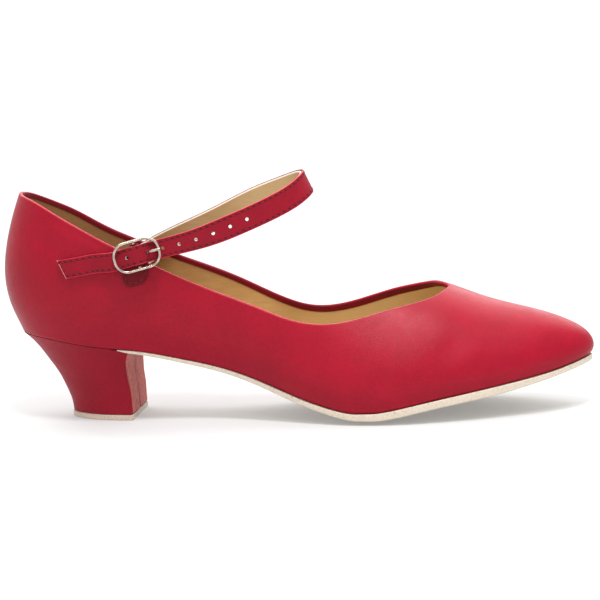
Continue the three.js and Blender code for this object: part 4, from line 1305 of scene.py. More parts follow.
        # The fold's second slot is painted shade and its third a painted highlight.
        fold = make_piece("topline_fold", self.fold(), [finishes.leather, finishes.fold, finishes.edge_highlight])
        lining_skin = self.shell(self.lining_depth, self.wall, self.lining_drop, 12, 40, False)
        lining = make_piece("upper_lining", lining_skin, [finishes.lining])
        # Distance below the fold, which places the lining's painted shadow line.
        points = piece_points(lining) / MM - FRAME_SHIFT
        beyond = distance_to(points, self.inner_rim()) - self.fold_stretch * self.widening(points[:, 0])
        set_attribute(lining, "drop", beyond)
        sock = make_piece("sock", self.sock(), [finishes.sock])
        # The sock gets no painted shadow line.
        set_attribute(sock, "drop", np.full(len(sock.data.vertices), FAR_BELOW))
        for piece, slot in ((leather, "upper"), (fold, "upper"), (lining, "lining"), (sock, "lining")):
            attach(piece, "root")
        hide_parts("upper")
        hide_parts("insole")
        return [leather, fold, lining, sock]

    def inner_rim(self) -> Array:
        """The top line moved in by the wall."""
        return self.rim["line"] - self.wall * self.rim["normal"]


# Sole


def sole_skin(last: Last, turns: Array, spread: Callable[[Array], Array],
              top: Callable[[Array, Array], Array], bottom: Callable[[Array, Array], Array],
              round_edge: float, wobble: float = 0.0) -> Skin:
    """A plate that follows the bottom of the last.

    Each station is a closed ring across the shoe. Near the edges both faces draw together along a
    quarter circle, so the edge is rounded.

    Args:
        last: the last.
        turns: the stations.
        spread: how far the outline stands out past the bottom edge at x.
        top: height of the upper face.
        bottom: height of the lower face.
        round_edge: radius of the edge.
        wobble: unevenness of the cut edge.

    Returns:
        The plate as a closed skin.
    """
    ends = []
    for side in Side:
        x, y = last.feather(side, turns)
        ahead = [last.feather(side, np.clip(turns + step, 0.0, 1.0)) for step in (TINY, -TINY)]
        tangent = unit(np.stack([ahead[0][0] - ahead[1][0], ahead[0][1] - ahead[1][1]], axis=-1))
        out = -float(side.value) * np.stack([tangent[:, 1], -tangent[:, 0]], axis=-1)
        waves = ((2.3, side.value), (5.1, 1.3), (0.9, 2.0))
        rough = wobble * sum(np.sin(x * pitch + start) for pitch, start in waves) / len(waves)
        ends.append(np.stack([x, y], axis=-1) + out * (spread(x) + rough)[:, None])
    width = np.linalg.norm(ends[1] - ends[0], axis=-1)
    near = round_edge * (1.0 - np.cos(np.linspace(0.0, math.pi / 2.0, 6)))
    inner = np.linspace(0.0, 1.0, 17)[1:-1]
    rows_top, rows_bottom = [], []
    places = [(np.minimum(gap / np.maximum(width, 1e-6), 0.5), gap) for gap in near]
    edge_share = places[-1][0]
    shares = [p[0] for p in places] + [mix(edge_share, 1.0 - edge_share, k) for k in inner]
    shares += [1.0 - p[0] for p in reversed(places)]
    pulls = [p[1] for p in places] + [round_edge] * len(inner) + [p[1] for p in reversed(places)]
    for share, pull in zip(shares, pulls):
        place = ends[0] + (ends[1] - ends[0]) * share[:, None]
        x, y = place[:, 0], place[:, 1]
        high, low = top(x, y), bottom(x, y)
        sink = round_edge - math.sqrt(max(0.0, round_edge**2 - (round_edge - pull) ** 2))
        sink = np.minimum(sink, (high - low) * 0.45)
        rows_top.append(xyz(x, y, high - sink))
        rows_bottom.append(xyz(x, y, low + sink))
    return Skin.of_rings(np.stack(rows_top + rows_bottom[::-1], axis=1))


@dataclass
class Sole:
    """The thin suede outsole, whose tail is lapped into the front of the heel seat."""

    last: Last
    finishes: Finishes
    thickness: float = 3.3
    edge: float = 0.7
    edge_radius: float = 0.45
    edge_wobble: float = 0.12
    tail_at: float = 49.6
    skive_length: float = 5.0
    profile: Array = field(default_factory=lambda: table([
        (0.160, 0.120), (0.230, 0.330), (0.310, 0.430), (0.416, 0.560), (0.500, 0.660), (0.586, 0.780),
        (0.630, 0.900), (0.670, 0.980), (0.760, 0.990), (0.843, 1.000), (0.890, 0.880), (0.930, 0.730),
        (1.000, 0.670),
    ]))

    def __post_init__(self) -> None:
        """Lays the spline through the thickness table."""
        self.spline = NaturalSpline(*self.profile)

    def depth_at(self, x: Array) -> Array:
        """Thickness at x, skived to a thin edge at the tail."""
        skive = mix(0.1, 1.0, smooth_step(self.tail_at - 2.0, self.tail_at + self.skive_length, x))
        return self.thickness * self.spline(x / self.last.shoe_length) * skive

    def build(self) -> list[Piece]:
        """Makes the outsole.

        Returns:
            The new object in a list.
        """
        gap = self.last.gap

        def top(x: Array, y: Array) -> Array:
            """Height of the upper face, half a gap under the bottom of the last."""
            return self.last.bed_z(x, y) - gap * 0.5

        def bottom(x: Array, y: Array) -> Array:
            """Height of the lower face, a gap and the thickness under the last, held above the ground."""
            return np.maximum(0.0, self.last.bed_z(x, y) - gap - self.depth_at(x))

        turns = np.linspace(float(self.last.turn_at_x(self.tail_at)), 1.0, 260)
        skin = sole_skin(self.last, turns,
                         lambda x: self.edge * smooth_step(0.2, 0.5, x / self.last.shoe_length),
                         top, bottom, self.edge_radius, self.edge_wobble)
        sole = make_piece("outsole_suede", skin, [self.finishes.sole])
        points = piece_points(sole) / MM - FRAME_SHIFT
        below = top(points[:, 0], points[:, 1]) - points[:, 2]
        set_attribute(sole, "edge", 1.0 - smooth_step(0.1, 1.6, below))
        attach(sole, "root")
        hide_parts("outsole")
        return [sole]


# Heel


@dataclass
class Heel:
    """The covered heel block, its breast cover in two halves, and the top piece."""

    last: Last
    sole: Sole
    finishes: Finishes
    back_at: float = 24.5
    breast_at: float = 53.4
    tip_width: float = 34.0
    corner: float = 1.4
    hollow: float = 2.0
    top_piece: float = 2.3
    ledge: float = 0.25
    roundness: float = 0.55
    seam: float = 0.1
    breast_gap: float = 0.85
    breast_fray: float = 0.5
    breast_puff: float = 0.42
    breast_lump: float = 0.12
    breast_depth: float = 0.4
    rings: Array = field(default_factory=lambda: table([
        (0.00, 0.000, 0.000), (0.15, 0.040, 0.100), (0.31, 0.145, 0.170), (0.49, 0.290, 0.500),
        (0.67, 0.500, 0.650), (0.84, 0.715, 0.450), (0.94, 0.880, -0.05), (1.00, 1.000, -0.30),
    ]))

    def __post_init__(self) -> None:
        """Lays the splines through the ring table."""
        self.back = NaturalSpline(self.rings[0], self.rings[1])
        self.breast = NaturalSpline(self.rings[0], self.rings[2])
        self.base = self.top_piece + self.last.gap

    def span(self, level: float) -> tuple[float, float]:
        """Back and breast of a ring, along the shoe."""
        seat_back = self.last.seat_inset + 2.0 * self.last.gap
        return (float(mix(self.back_at, seat_back, self.back(level))),
                self.breast_at - self.hollow * float(self.breast(level)))

    def half_width(self, side: Side, share: Array, level: float) -> Array:
        """Half width of a ring: the tip's own curve below, blending by level squared into the seat's.

        Args:
            side: outer or inner side.
            share: 0 at the back to 1 at the breast.
            level: 0 at the top piece to 1 at the seat.

        Returns:
            The half widths.
        """
        tip = (self.tip_width / 2.0) * (1.0 - (1.0 - share) ** 2) ** self.roundness
        back, front = self.span(1.0)
        seat = self.last.ball_width * self.last.half[side](self.last.turn_at_x(mix(back, front, share)))
        seat = np.where(share <= 0.0, 0.0, seat - 2.0 * self.last.gap)
        return mix(tip, np.maximum(seat, 0.0), level**2)

    def outline(self, level: float, spread: float = 0.0) -> tuple[Array, Array]:
        """A ring's outline: a rounded back, straight sides, and quarter circles at the breast's corners.

        Args:
            level: 0 at the top piece to 1 at the seat.
            spread: how far it stands out.

        Returns:
            The x and y of its points.
        """
        back, front = self.span(level)
        back, front = back - spread, front + spread
        corner = 1.0 - self.corner / (front - back)
        shares = (1.0 - np.cos(np.linspace(0.0, math.pi / 2.0, 44))) * corner
        halves = {side: self.half_width(side, shares, level) + spread * np.minimum(shares / 0.02, 1.0)
                  for side in Side}
        angles = np.linspace(0.0, math.pi / 2.0, 7)[1:]
        xs, ys = [mix(back, front, shares)], [-halves[Side.OUTER]]
        for side, order in ((Side.OUTER, 1), (Side.INNER, -1)):
            edge = halves[side][-1] - self.corner
            arc_x = front - self.corner + self.corner * np.sin(angles)
            arc_y = side.value * (edge + self.corner * np.cos(angles))
            if order < 0:
                middle = np.linspace(ys[-1][-1], arc_y[-1], 24)[1:-1]
                xs.append(np.full(len(middle), front))
                ys.append(middle)
            xs.append(arc_x[::order])
            ys.append(arc_y[::order])
        xs.append(mix(back, front, shares)[::-1][:-1])
        ys.append(halves[Side.INNER][::-1][:-1])
        return np.concatenate(xs), np.concatenate(ys)

    def seat_z(self, x: Array) -> Array:
        """Height of the block's top: the bottom of the last, less the sole's tail where that is lapped in."""
        lap = smooth_step(self.sole.tail_at - 1.0, self.sole.tail_at, x)
        cut = self.sole.depth_at(x) + self.last.gap - self.seam
        return self.last.bed_z(x, np.zeros_like(x)) - self.seam - lap * cut

    def block(self) -> Skin:
        """Rings from the top piece up to the seat.

        Returns:
            The block as a closed skin.
        """
        rings = []
        for level in np.linspace(0.0, 1.0, 64):
            x, y = self.outline(float(level))
            seat = self.last.bed_z(x, np.zeros_like(x)) - self.seam
            ceiling = self.seat_z(x) - (1.0 - level) * 0.01
            z = np.minimum(mix(np.full_like(x, self.base), seat, level), ceiling)
            rings.append(xyz(x, y, z))
        return Skin.of_rings(np.stack(rings))

    def breast_line(self, levels: Array) -> tuple[Array, Array]:
        """Places along the shoe and heights of the breast's face.

        Args:
            levels: 0 at the top piece to 1 at the seat.

        Returns:
            The places along the shoe, and the heights.
        """
        front = np.array([self.span(float(level))[1] for level in levels])
        return front, mix(self.base, float(self.seat_z(np.array([self.breast_at]))[0]), levels)

    def breast_half(self, side: Side) -> Skin:
        """One half of the breast cover: a thin panel whose middle edge is cut by hand and turned in.

        Its middle edge wanders and frays as sums of sines of the level. Its face stands out by a puff
        that falls to nothing at both edges as a square root, with low lumps on it.

        Args:
            side: outer or inner side.

        Returns:
            The panel as a closed skin, its middle edge in the second material slot.
        """
        levels = np.linspace(0.02, 0.975, 70)
        across = np.concatenate([[0.0, 0.006, 0.02, 0.06], np.linspace(0.1, 0.9, 16), [0.96, 0.985, 1.0]])
        front, z = self.breast_line(levels)
        near_end = np.array([0.97])
        halves = np.array([float(self.half_width(side, near_end, float(level))[0]) for level in levels])
        wander = 0.2 * np.sin(levels * 9.0 + 1.0) + 0.12 * np.sin(levels * 23.0 + side.value)
        frayed = self.breast_fray * (1.0 - smooth_step(0.0, 0.4, levels))
        inner = self.breast_gap + frayed + 0.10 * np.sin(levels * 31.0 + 2.0 * side.value)
        outer = halves - self.corner - self.last.gap
        spread = mix(inner[:, None], outer[:, None], across[None, :])
        y = side.value * spread + wander[:, None] * (1.0 - across)
        sag = self.breast_puff * np.sqrt(np.clip(np.minimum(across / 0.06, (1.0 - across) / 0.03), 0.0, 1.0))
        waves = np.sin(levels[:, None] * 14.0 + across[None, :] * 5.0)
        face = front[:, None] + sag[None, :] + self.breast_lump * waves * np.sin(across * math.pi)[None, :]
        back = np.broadcast_to(front[:, None] - self.breast_depth, face.shape)
        height = np.broadcast_to(z[:, None], face.shape)
        rings = np.concatenate([xyz(face, y, height), xyz(back, y, height)[:, ::-1]], axis=1)
        skin = Skin.of_rings(rings)
        column = np.arange((len(levels) - 1) * rings.shape[1]) % rings.shape[1]
        last_column = len(across) - 1
        skin.finish[:len(column)][(column < 2) | (column == 2 * last_column + 1)] = 1
        return skin

    def breast_seam(self) -> Skin:
        """A dark strip of painted shade between the two halves of the breast cover, where the leather is
        turned in.

        Returns:
            The strip as a closed skin in the third material slot.
        """
        levels = np.linspace(0.03, 0.97, 50)
        front, z = self.breast_line(levels)
        corners = ((0.06, -1.5), (0.06, 1.5), (-0.3, 1.5), (-0.3, -1.5))
        rings = [xyz(front + depth, across, z) for depth, across in corners]
        skin = Skin.of_rings(np.stack(rings, axis=1))
        skin.finish[:] = 2
        return skin

    def tip(self) -> Skin:
        """The top piece: the block's lowest outline with a small ledge and rounded edges.

        Returns:
            The top piece as a closed skin.
        """
        rings = []
        section = ((0.0, 0.35), (0.06, 0.15), (0.22, 0.03), (0.5, 0.0), (1.2, 0.03), (1.9, 0.0),
                   (2.14, 0.04), (2.26, 0.14), (self.top_piece, 0.3))
        for z, pull in section:
            x, y = self.outline(0.0, self.ledge - pull)
            fray = 0.05 * (np.sin(x * 7.0 + y * 3.0 + z) + np.sin(y * 5.0 + x * 2.0))
            rings.append(xyz(x + fray * 0.5, y + fray * 0.5, np.full_like(x, z)))
        return Skin.of_rings(np.stack(rings))

    def build(self) -> list[Piece]:
        """Makes the heel's pieces.

        Returns:
            The new objects.
        """
        block = make_piece("heel_cover", self.block(), [self.finishes.heel], 50.0)
        # The breast cover's pink is painted bounce light from the floor, and the strip between its halves is
        # painted shade.
        panels = gathered([self.breast_half(Side.OUTER), self.breast_half(Side.INNER), self.breast_seam()])
        breast = make_piece("heel_breast_cover", panels,
                            [self.finishes.breast, self.finishes.cut_edge, self.finishes.needle_hole_shade], 60.0)
        tip = make_piece("heel_top_piece_fibre", self.tip(), [self.finishes.top_piece], 50.0)
        set_attribute(tip, "edge", smooth_step(1.2, 2.3, piece_points(tip)[:, 2] / MM))
        for piece, slot in ((block, "heel_cover"), (breast, "heel_cover"), (tip, "outsole")):
            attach(piece, "root")
        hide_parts("heel")
        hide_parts("heel_top_piece")
        return [block, breast, tip]


# Strap


@dataclass
class Strap:
    """The pointed ankle strap: a red leather face on a tan lining, punched and stitched.

    Its centreline runs from the loose tail through the buckle, round above the instep and down inside
    the far wall. Each station has a place, an up direction and, crossed with the way it runs, an
    outward direction.
    """

    last: Last
    finishes: Finishes
    width: float = 9.9
    tip_width: float = 8.3
    thickness: float = 1.8
    reach: float = 70.0
    tail: float = 33.0
    slant: float = 2.9
    root_depth: float = 13.0
    far_lift: float = 3.6
    lift_range: tuple[float, float] = (0.25, 0.75)
    near_drop: float = 2.4
    drop_range: tuple[float, float] = (-0.15, 0.55)
    far_slope: float = 0.45
    loop_power: float = 2.4
    loop_steps: int = 10
    loop_clearance: float = 14.0
    tail_slope: float = 0.155
    root_drop: float = 3.5
    root_way: tuple[float, float] = (0.85, 0.5)
    widen_from: float = 14.0
    widen_to: float = 42.0
    slant_fade: float = 20.0
    tip_round: float = 0.45
    groove_width: float = 0.38
    wall: float = 1.9
    hole_pitch: float = 7.6
    hole_start: float = 4.4
    hole_radius: float = 0.78
    hole_count: int = 8
    prong_hole: int = 1
    buckle_at: float = 60.5
    buckle_level: float = 72.8
    buckle_length: float = 20.5
    tilt: float = 14.5
    over_bar: float = 5.8
    under_frame: float = 3.8
    leather: float = 1.15
    stitch_inset: float = 1.15
    stitch_pitch: float = 2.7
    stitch_length: float = 1.75

    def __post_init__(self) -> None:
        """Works out the buckle's frame of reference and the centreline."""
        point, normal = self.last.face_at(Side.OUTER, self.buckle_at, self.buckle_level)
        lean = math.radians(self.tilt)
        run = np.array([math.cos(lean), 0.0, math.sin(lean)])
        self.root, self.out = point, normal
        self.along = unit(run - run.dot(normal) * normal)
        self.up = -np.cross(normal, self.along)
        if self.up[2] < 0:
            self.up = -self.up
        self.lay_centreline()

    def place(self, across: Array, level: Array, outward: Array) -> Array:
        """Points at distances along the strap, up, and out from the upper's face at the buckle."""
        across, level, outward = np.broadcast_arrays(across, level, outward)
        return (self.root + across[..., None] * self.along + level[..., None] * self.up
                + outward[..., None] * self.out)

    def leaning(self, run: Array, normal: Array) -> Array:
        """Upward direction square to a face and to a direction along it."""
        up = np.cross(run, normal)
        return up if up[2] > 0 else -up

    def stations(self) -> list[tuple[Array, Array]]:
        """Places and up directions of the centreline, from the tail's tip to its root inside the far wall.

        Returns:
            The stations in order.
        """
        half, gap = self.thickness / 2.0, 2.0 * self.last.gap
        rows = []
        for share in (-1.0, -0.72, -0.5):
            ahead = self.tail * share
            level = self.buckle_level + self.tail_slope * ahead
            point, normal = self.last.face_at(Side.OUTER, self.buckle_at + ahead, level)
            up = self.leaning(np.array([1.0, 0.0, self.tail_slope]), normal)
            rows.append((point + normal * (gap + half), up))
        leaving = gap + half + 2.0
        for share, outward in ((-0.5, leaving), (-0.34, self.under_frame), (0.0, self.over_bar),
                               (0.34, self.under_frame), (0.5, leaving)):
            across = np.array(share * self.buckle_length)
            rows.append((self.place(across, np.array(0.0), np.array(outward)), self.up))
        rows += self.loop_stations()
        back, down = self.root_way
        for depth in (0.0, self.root_depth):
            level = self.buckle_level - self.root_drop - depth * down
            point, normal = self.last.face_at(Side.INNER, self.buckle_at - depth * back, level)
            up = self.leaning(np.array([back, 0.0, down]), normal)
            rows.append((point - normal * (self.wall + gap + half), up))
        return rows

    def loop_stations(self) -> list[tuple[Array, Array]]:
        """Places and up directions of the open loop over the instep.

        Seen from above it is a rounded half oval: sideways a cosine, and ahead a sine to the power of
        2 / loop_power. Its height climbs from the buckle's tilt to the far slope, is lifted on the far
        side, and drops on the near side.

        Returns:
            The stations, from the buckle round to the far wall.
        """
        rows = []
        start = self.place(np.array(0.0), np.array(0.0), np.array(self.under_frame))
        far, _ = self.last.face_at(Side.INNER, self.buckle_at, self.buckle_level)
        far_y = float(far[1]) - self.wall - self.last.gap - self.thickness
        start_slope = math.tan(math.radians(self.tilt))
        for step in range(1, self.loop_steps):
            angle = math.pi * step / self.loop_steps
            ahead = abs(math.sin(angle)) ** (2.0 / self.loop_power)
            sideways, forward = math.cos(angle), self.reach * ahead
            if sideways > 0 and forward < self.buckle_length / 2.0 + self.loop_clearance:
                continue
            y = start[1] * sideways if sideways > 0 else -far_y * sideways
            climb = mix(start_slope, self.far_slope, ahead)
            lift = self.far_lift * (1.0 - sideways) / 2.0 * float(smooth_step(*self.lift_range, ahead))
            drop = self.near_drop * ahead * float(smooth_step(*self.drop_range, sideways))
            z = self.buckle_level + forward * mix(start_slope, self.far_slope, ahead / 2.0) + lift - drop
            rows.append((np.array([self.buckle_at + forward, y, z]), np.array([-climb, 0.0, 1.0])))
        return rows

    def lay_centreline(self) -> None:
        """Lays splines through the stations by the straight distances between them."""
        rows = self.stations()
        places = np.array([row[0] for row in rows])
        ups = unit(np.array([row[1] for row in rows]))
        lengths = np.concatenate([[0.0], np.cumsum(np.linalg.norm(np.diff(places, axis=0), axis=1))])
        self.lines = [NaturalSpline(lengths, places[:, k]) for k in range(3)]
        self.up_lines = [NaturalSpline(lengths, ups[:, k]) for k in range(3)]
        self.full, self.zero = float(lengths[-1]), float(lengths[5])

    def frame_at(self, at: Array) -> tuple[Array, Array, Array, Array]:
        """Place, direction along, up and out at a length along the centreline.

        Args:
            at: lengths along it.

        Returns:
            The four arrays.
        """
        at = np.asarray(at, float)

        def line(where: Array) -> Array:
            """Points of the centreline."""
            return np.stack([spline(where) for spline in self.lines], axis=-1)

        step = 0.1
        along = unit(line(np.minimum(at + step, self.full)) - line(np.maximum(at - step, 0.0)))
        up = np.stack([spline(at) for spline in self.up_lines], axis=-1)
        up = unit(up - (up * along).sum(-1, keepdims=True) * along)
        return line(at), along, up, np.cross(along, up)

    def half_width(self, at: Array) -> Array:
        """Half the strap's width, narrower towards the tail."""
        share = smooth_step(self.zero + self.widen_from, self.zero + self.widen_to, at)
        return mix(self.tip_width, self.width, share) / 2.0

    def point(self, at: Array, level: Array, outward: Array) -> Array:
        """Points of the strap at lengths along it, up from its middle and out from its middle."""
        place, _, up, out = self.frame_at(at)
        return place + up * np.asarray(level)[..., None] + out * np.asarray(outward)[..., None]

    def layer(self, inner: float, outer: float, edge: float, trim: float, brim: float, groove: float = 0.0,
              bevel: float = 0.1, edge_finish: int = 1, far_finish: int = 1) -> Skin:
        """One layer of the strap between two depths, with rounded long edges.

        Args:
            inner: outward distance of its inner face.
            outer: outward distance of its outer face.
            edge: how far the faces draw in at the long edges.
            trim: how much narrower it is on each side than the strap.
            brim: how far the long edges' material slot reaches onto both faces.
            groove: depth of the trough that the stitches lie in.
            bevel: how far the outer face draws in at the tail's cut end.
            edge_finish: material slot of the long edges; on the leather face, the lighter copy of the leather
                as a painted highlight.
            far_finish: material slot of the long edges beyond the turn of the loop; on the leather face, the
                darker copy as a painted shade.

        Returns:
            The layer as a closed skin.
        """
        run = np.concatenate([[0.0, 0.1, 0.25, 0.45], np.linspace(1.0, self.full, 296)])
        tip = bevel * (1.0 - np.sqrt(1.0 - np.clip(1.0 - run / self.tip_round, 0.0, 1.0) ** 2))
        middle, half_depth = (inner + outer) / 2.0, (outer - inner) / 2.0
        angles = np.linspace(-math.pi / 2.0, math.pi / 2.0, 7)
        rounded = [(edge * (1.0 - math.cos(angle)), half_depth * math.sin(angle)) for angle in angles]
        insets = (brim, brim + 0.15, self.stitch_inset, 1.6, 2.0, 2.7)
        outer_half = rounded + [(inset, half_depth) for inset in insets]
        inner_half = [(inset, -half_depth) for inset in insets]
        ring = [(1.0, *p) for p in outer_half] + [(-1.0, *p) for p in reversed(outer_half)]
        ring += [(-1.0, *p) for p in inner_half] + [(1.0, *p) for p in reversed(inner_half)]
        rows = []
        for sign, inset, depth in ring:
            half = self.half_width(run)
            across = 0.5 - 0.5 * sign * (half - trim - inset) / half
            at = run + self.slant * across * np.clip(1.0 - run / self.slant_fade, 0.0, 1.0)
            off = (inset - self.stitch_inset) / self.groove_width
            dip = groove * math.exp(-(off**2)) if depth > 0 else 0.0
            level = sign * (self.half_width(at) - trim - inset)
            rows.append(self.point(at, level, middle + depth - dip - (tip if depth > 0 else 0.0)))
        skin = Skin.of_rings(np.stack(rows, axis=1), cap_finish=1)
        station, column = np.divmod(np.arange((len(run) - 1) * len(ring)), len(ring))
        size, corner = len(outer_half), len(rounded)
        on_edge = (column < corner) | ((column >= 2 * size - corner - 1) & (column <= 2 * size))
        on_edge |= column == len(ring) - 1
        # On the leather face the long edges take a painted highlight, and beyond the turn of the loop a
        # painted shade.
        skin.finish[:len(column)][on_edge] = edge_finish
        skin.finish[:len(column)][(station < 3) & (column < 2 * size)] = 1
        beyond = self.frame_at(run)[0][:, 1] > 0.0
        skin.finish[:len(column)][on_edge & beyond[station]] = far_finish
        return skin

    def hole_places(self) -> list[float]:
        """Lengths along the centreline at which holes are punched.

        Returns:
            The lengths.
        """
        places = []
        for index in range(self.hole_count):
            nudge = 1.0 if index < self.prong_hole else 0.0
            places.append(self.zero + self.hole_start + self.hole_pitch * (index - self.prong_hole) - nudge)
        return places

    def tube(self, start: Array, end: Array, radius: float, sides: int = 20) -> Skin:
        """A straight rod between two points."""
        way = unit(end - start)
        first = unit(np.cross(way, np.array([0.3, 0.5, 0.81])))
        ring = radius * circle(sides, first, np.cross(way, first))
        return Skin.of_rings(np.stack([start + ring, end + ring]))

    def punch(self, layer: Piece) -> None:
        """Cuts the holes through a layer; their walls take the cutter's finish.

        Args:
            layer: the layer's object.
        """
        rods = []
        for at in self.hole_places():
            ends = self.point(np.array([at, at]), np.array([0.0, 0.0]), np.array([-2.0, 2.0]))
            rods.append(self.tube(ends[0], ends[1], self.hole_radius))
        cutter = make_piece("strap_hole_cutter", gathered(rods), [self.finishes.hole_wall])
        change = layer.modifiers.new("holes", "BOOLEAN")
        change.operation, change.solver, change.object = "DIFFERENCE", "EXACT", cutter
        change.material_mode = "TRANSFER"
        depsgraph = bpy.context.evaluated_depsgraph_get()
        mesh = bpy.data.meshes.new_from_object(layer.evaluated_get(depsgraph))
        layer.modifiers.clear()
        layer.data = mesh
        bpy.data.objects.remove(cutter)
        mesh.set_sharp_from_angle(angle=math.radians(40.0))

    def rims(self) -> Skin:
        """A pressed ring round each hole on the outer face.

        Returns:
            The rings as one skin.
        """
        rims = []
        section = angles_round(8)
        for index, at in enumerate(self.hole_places()):
            if index == self.prong_hole:
                continue
            rings = []
            for angle in angles_round(28):
                radius = self.hole_radius + 0.14 + 0.16 * np.cos(section)
                lift = self.thickness / 2.0 - 0.02 + 0.07 * np.sin(section)
                where = np.full(len(section), at) + radius * math.cos(angle)
                rings.append(self.point(where, radius * math.sin(angle), lift))
            rims.append(Skin.of_rings(np.stack(rings), wrap=True))
        return gathered(rims)

    def build(self) -> list[Piece]:
        """Makes the strap's layers, hole rims and stitches.

        Returns:
            The new objects.
        """
        half = self.thickness / 2.0
        seam = half - self.leather
        finishes = self.finishes
        # The face's near long edges take a painted highlight and its far ones a painted shade.
        face_skin = self.layer(seam, half, edge=0.22, trim=0.0, brim=0.3, groove=0.14, bevel=0.6,
                               edge_finish=2, far_finish=3)
        face = make_piece("strap_leather", face_skin,
                          [finishes.strap, finishes.cut_edge, finishes.edge_highlight, finishes.fold])
        back_skin = self.layer(-half, seam - 0.02, edge=0.12, trim=0.28, brim=0.6)
        back = make_piece("strap_lining", back_skin, [finishes.strap_lining, finishes.lining_edge])
        self.punch(face)
        self.punch(back)
        set_attribute(back, "drop", np.full(len(back.data.vertices), FAR_BELOW))
        # The hole rims are in the darker copy of the leather: painted shade round each hole.
        rims = make_piece("strap_hole_rims", self.rims(), [finishes.fold])
        threads, pits = sew(self.seams())
        stitches = make_piece("strap_stitches", threads, [finishes.red_thread])
        # Dark beads of painted shade at the needle holes.
        pitted = make_piece("strap_needle_hole_shade", pits, [finishes.needle_hole_shade])
        for piece in (face, back, rims, stitches, pitted):
            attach(piece, "root")
        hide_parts("strap")
        return [face, back, rims, stitches, pitted]

    def seams(self) -> list[Seam]:
        """The stitches: a row along both edges and one across the slanted tip.

        Returns:
            Both ends and the outward direction of each stitch.
        """
        rows = []
        first, unsewn = 1.5, 8.0
        count = int((self.full - unsewn) / self.stitch_pitch)
        for sign in (1.0, -1.0):
            start = first + (self.slant if sign < 0 else 0.0)
            for index in range(count):
                at = start + index * self.stitch_pitch
                ends = np.array([at, at + self.stitch_length])
                level = sign * (self.half_width(ends) - self.stitch_inset)
                rows.append((ends, level))
        reach = self.tip_width / 2.0 - self.stitch_inset
        for share in (-0.66, 0.0, 0.66):
            level = reach * share + self.stitch_length * np.array([0.5, -0.5])
            rows.append((first + self.slant * (0.5 - level / self.tip_width), level))
        seams = []
        for at, level in rows:
            points = self.point(at, level, np.full(2, self.thickness / 2.0 - 0.1))
            seams.append((points[0], points[1], self.frame_at(at[:1])[3][0]))
        return seams


def sew(seams: Sequence[Seam]) -> tuple[Skin, Skin]:
    """Makes a row of stitches and, at their ends, dark beads of painted shade for the needle holes.

    Args:
        seams: both ends of each stitch and the direction away from the leather.

    Returns:
        The threads, and the pits.
    """
    pit_back = 0.28
    threads = [stitch_skin(start, end, out) for start, end, out in seams]
    pits = [pit_skin(start - (end - start) * pit_back, end - start, out) for start, end, out in seams]
    return gathered(threads), gathered(pits)


def pit_skin(middle: Array, run: Array, out: Array) -> Skin:
    """Painted shade of a needle hole: a flat dark bead, longer across the seam's slope than along it.

    Args:
        middle: its middle.
        run: the way the stitch runs.
        out: away from the leather.

    Returns:
        The pit as a closed skin.
    """
    way, side = unit(run), unit(np.cross(unit(run), out))
    slope = unit(way + 0.55 * side)
    ring = circle(10, 0.56 * slope, 0.36 * unit(np.cross(slope, out)))
    section = ((-0.10, 0.5), (0.03, 1.0), (0.09, 0.92), (0.13, 0.6))
    return Skin.of_rings(np.stack([middle + out * lift + ring * size for lift, size in section]))


def stitch_skin(start: Array, end: Array, out: Array, radius: float = 0.23) -> Skin:
    """One stitch: a small rod that bows outwards and dips in at both ends.

    Args:
        start: one end, at the leather's face.
        end: the other end.
        out: direction away from the leather.
        radius: the thread's radius.

    Returns:
        The stitch as a closed skin.
    """
    way = unit(end - start)
    ring = circle(8, unit(np.cross(way, out)), 0.8 * out)
    section = ((0.0, 0.35, -0.16), (0.06, 0.8, 0.02), (0.25, 1.0, 0.12), (0.5, 1.0, 0.15),
               (0.75, 1.0, 0.12), (0.94, 0.8, 0.02), (1.0, 0.35, -0.16))
    return Skin.of_rings(np.stack([mix(start, end, share) + out * lift + radius * thick * ring
                                   for share, thick, lift in section]))


# Buckle


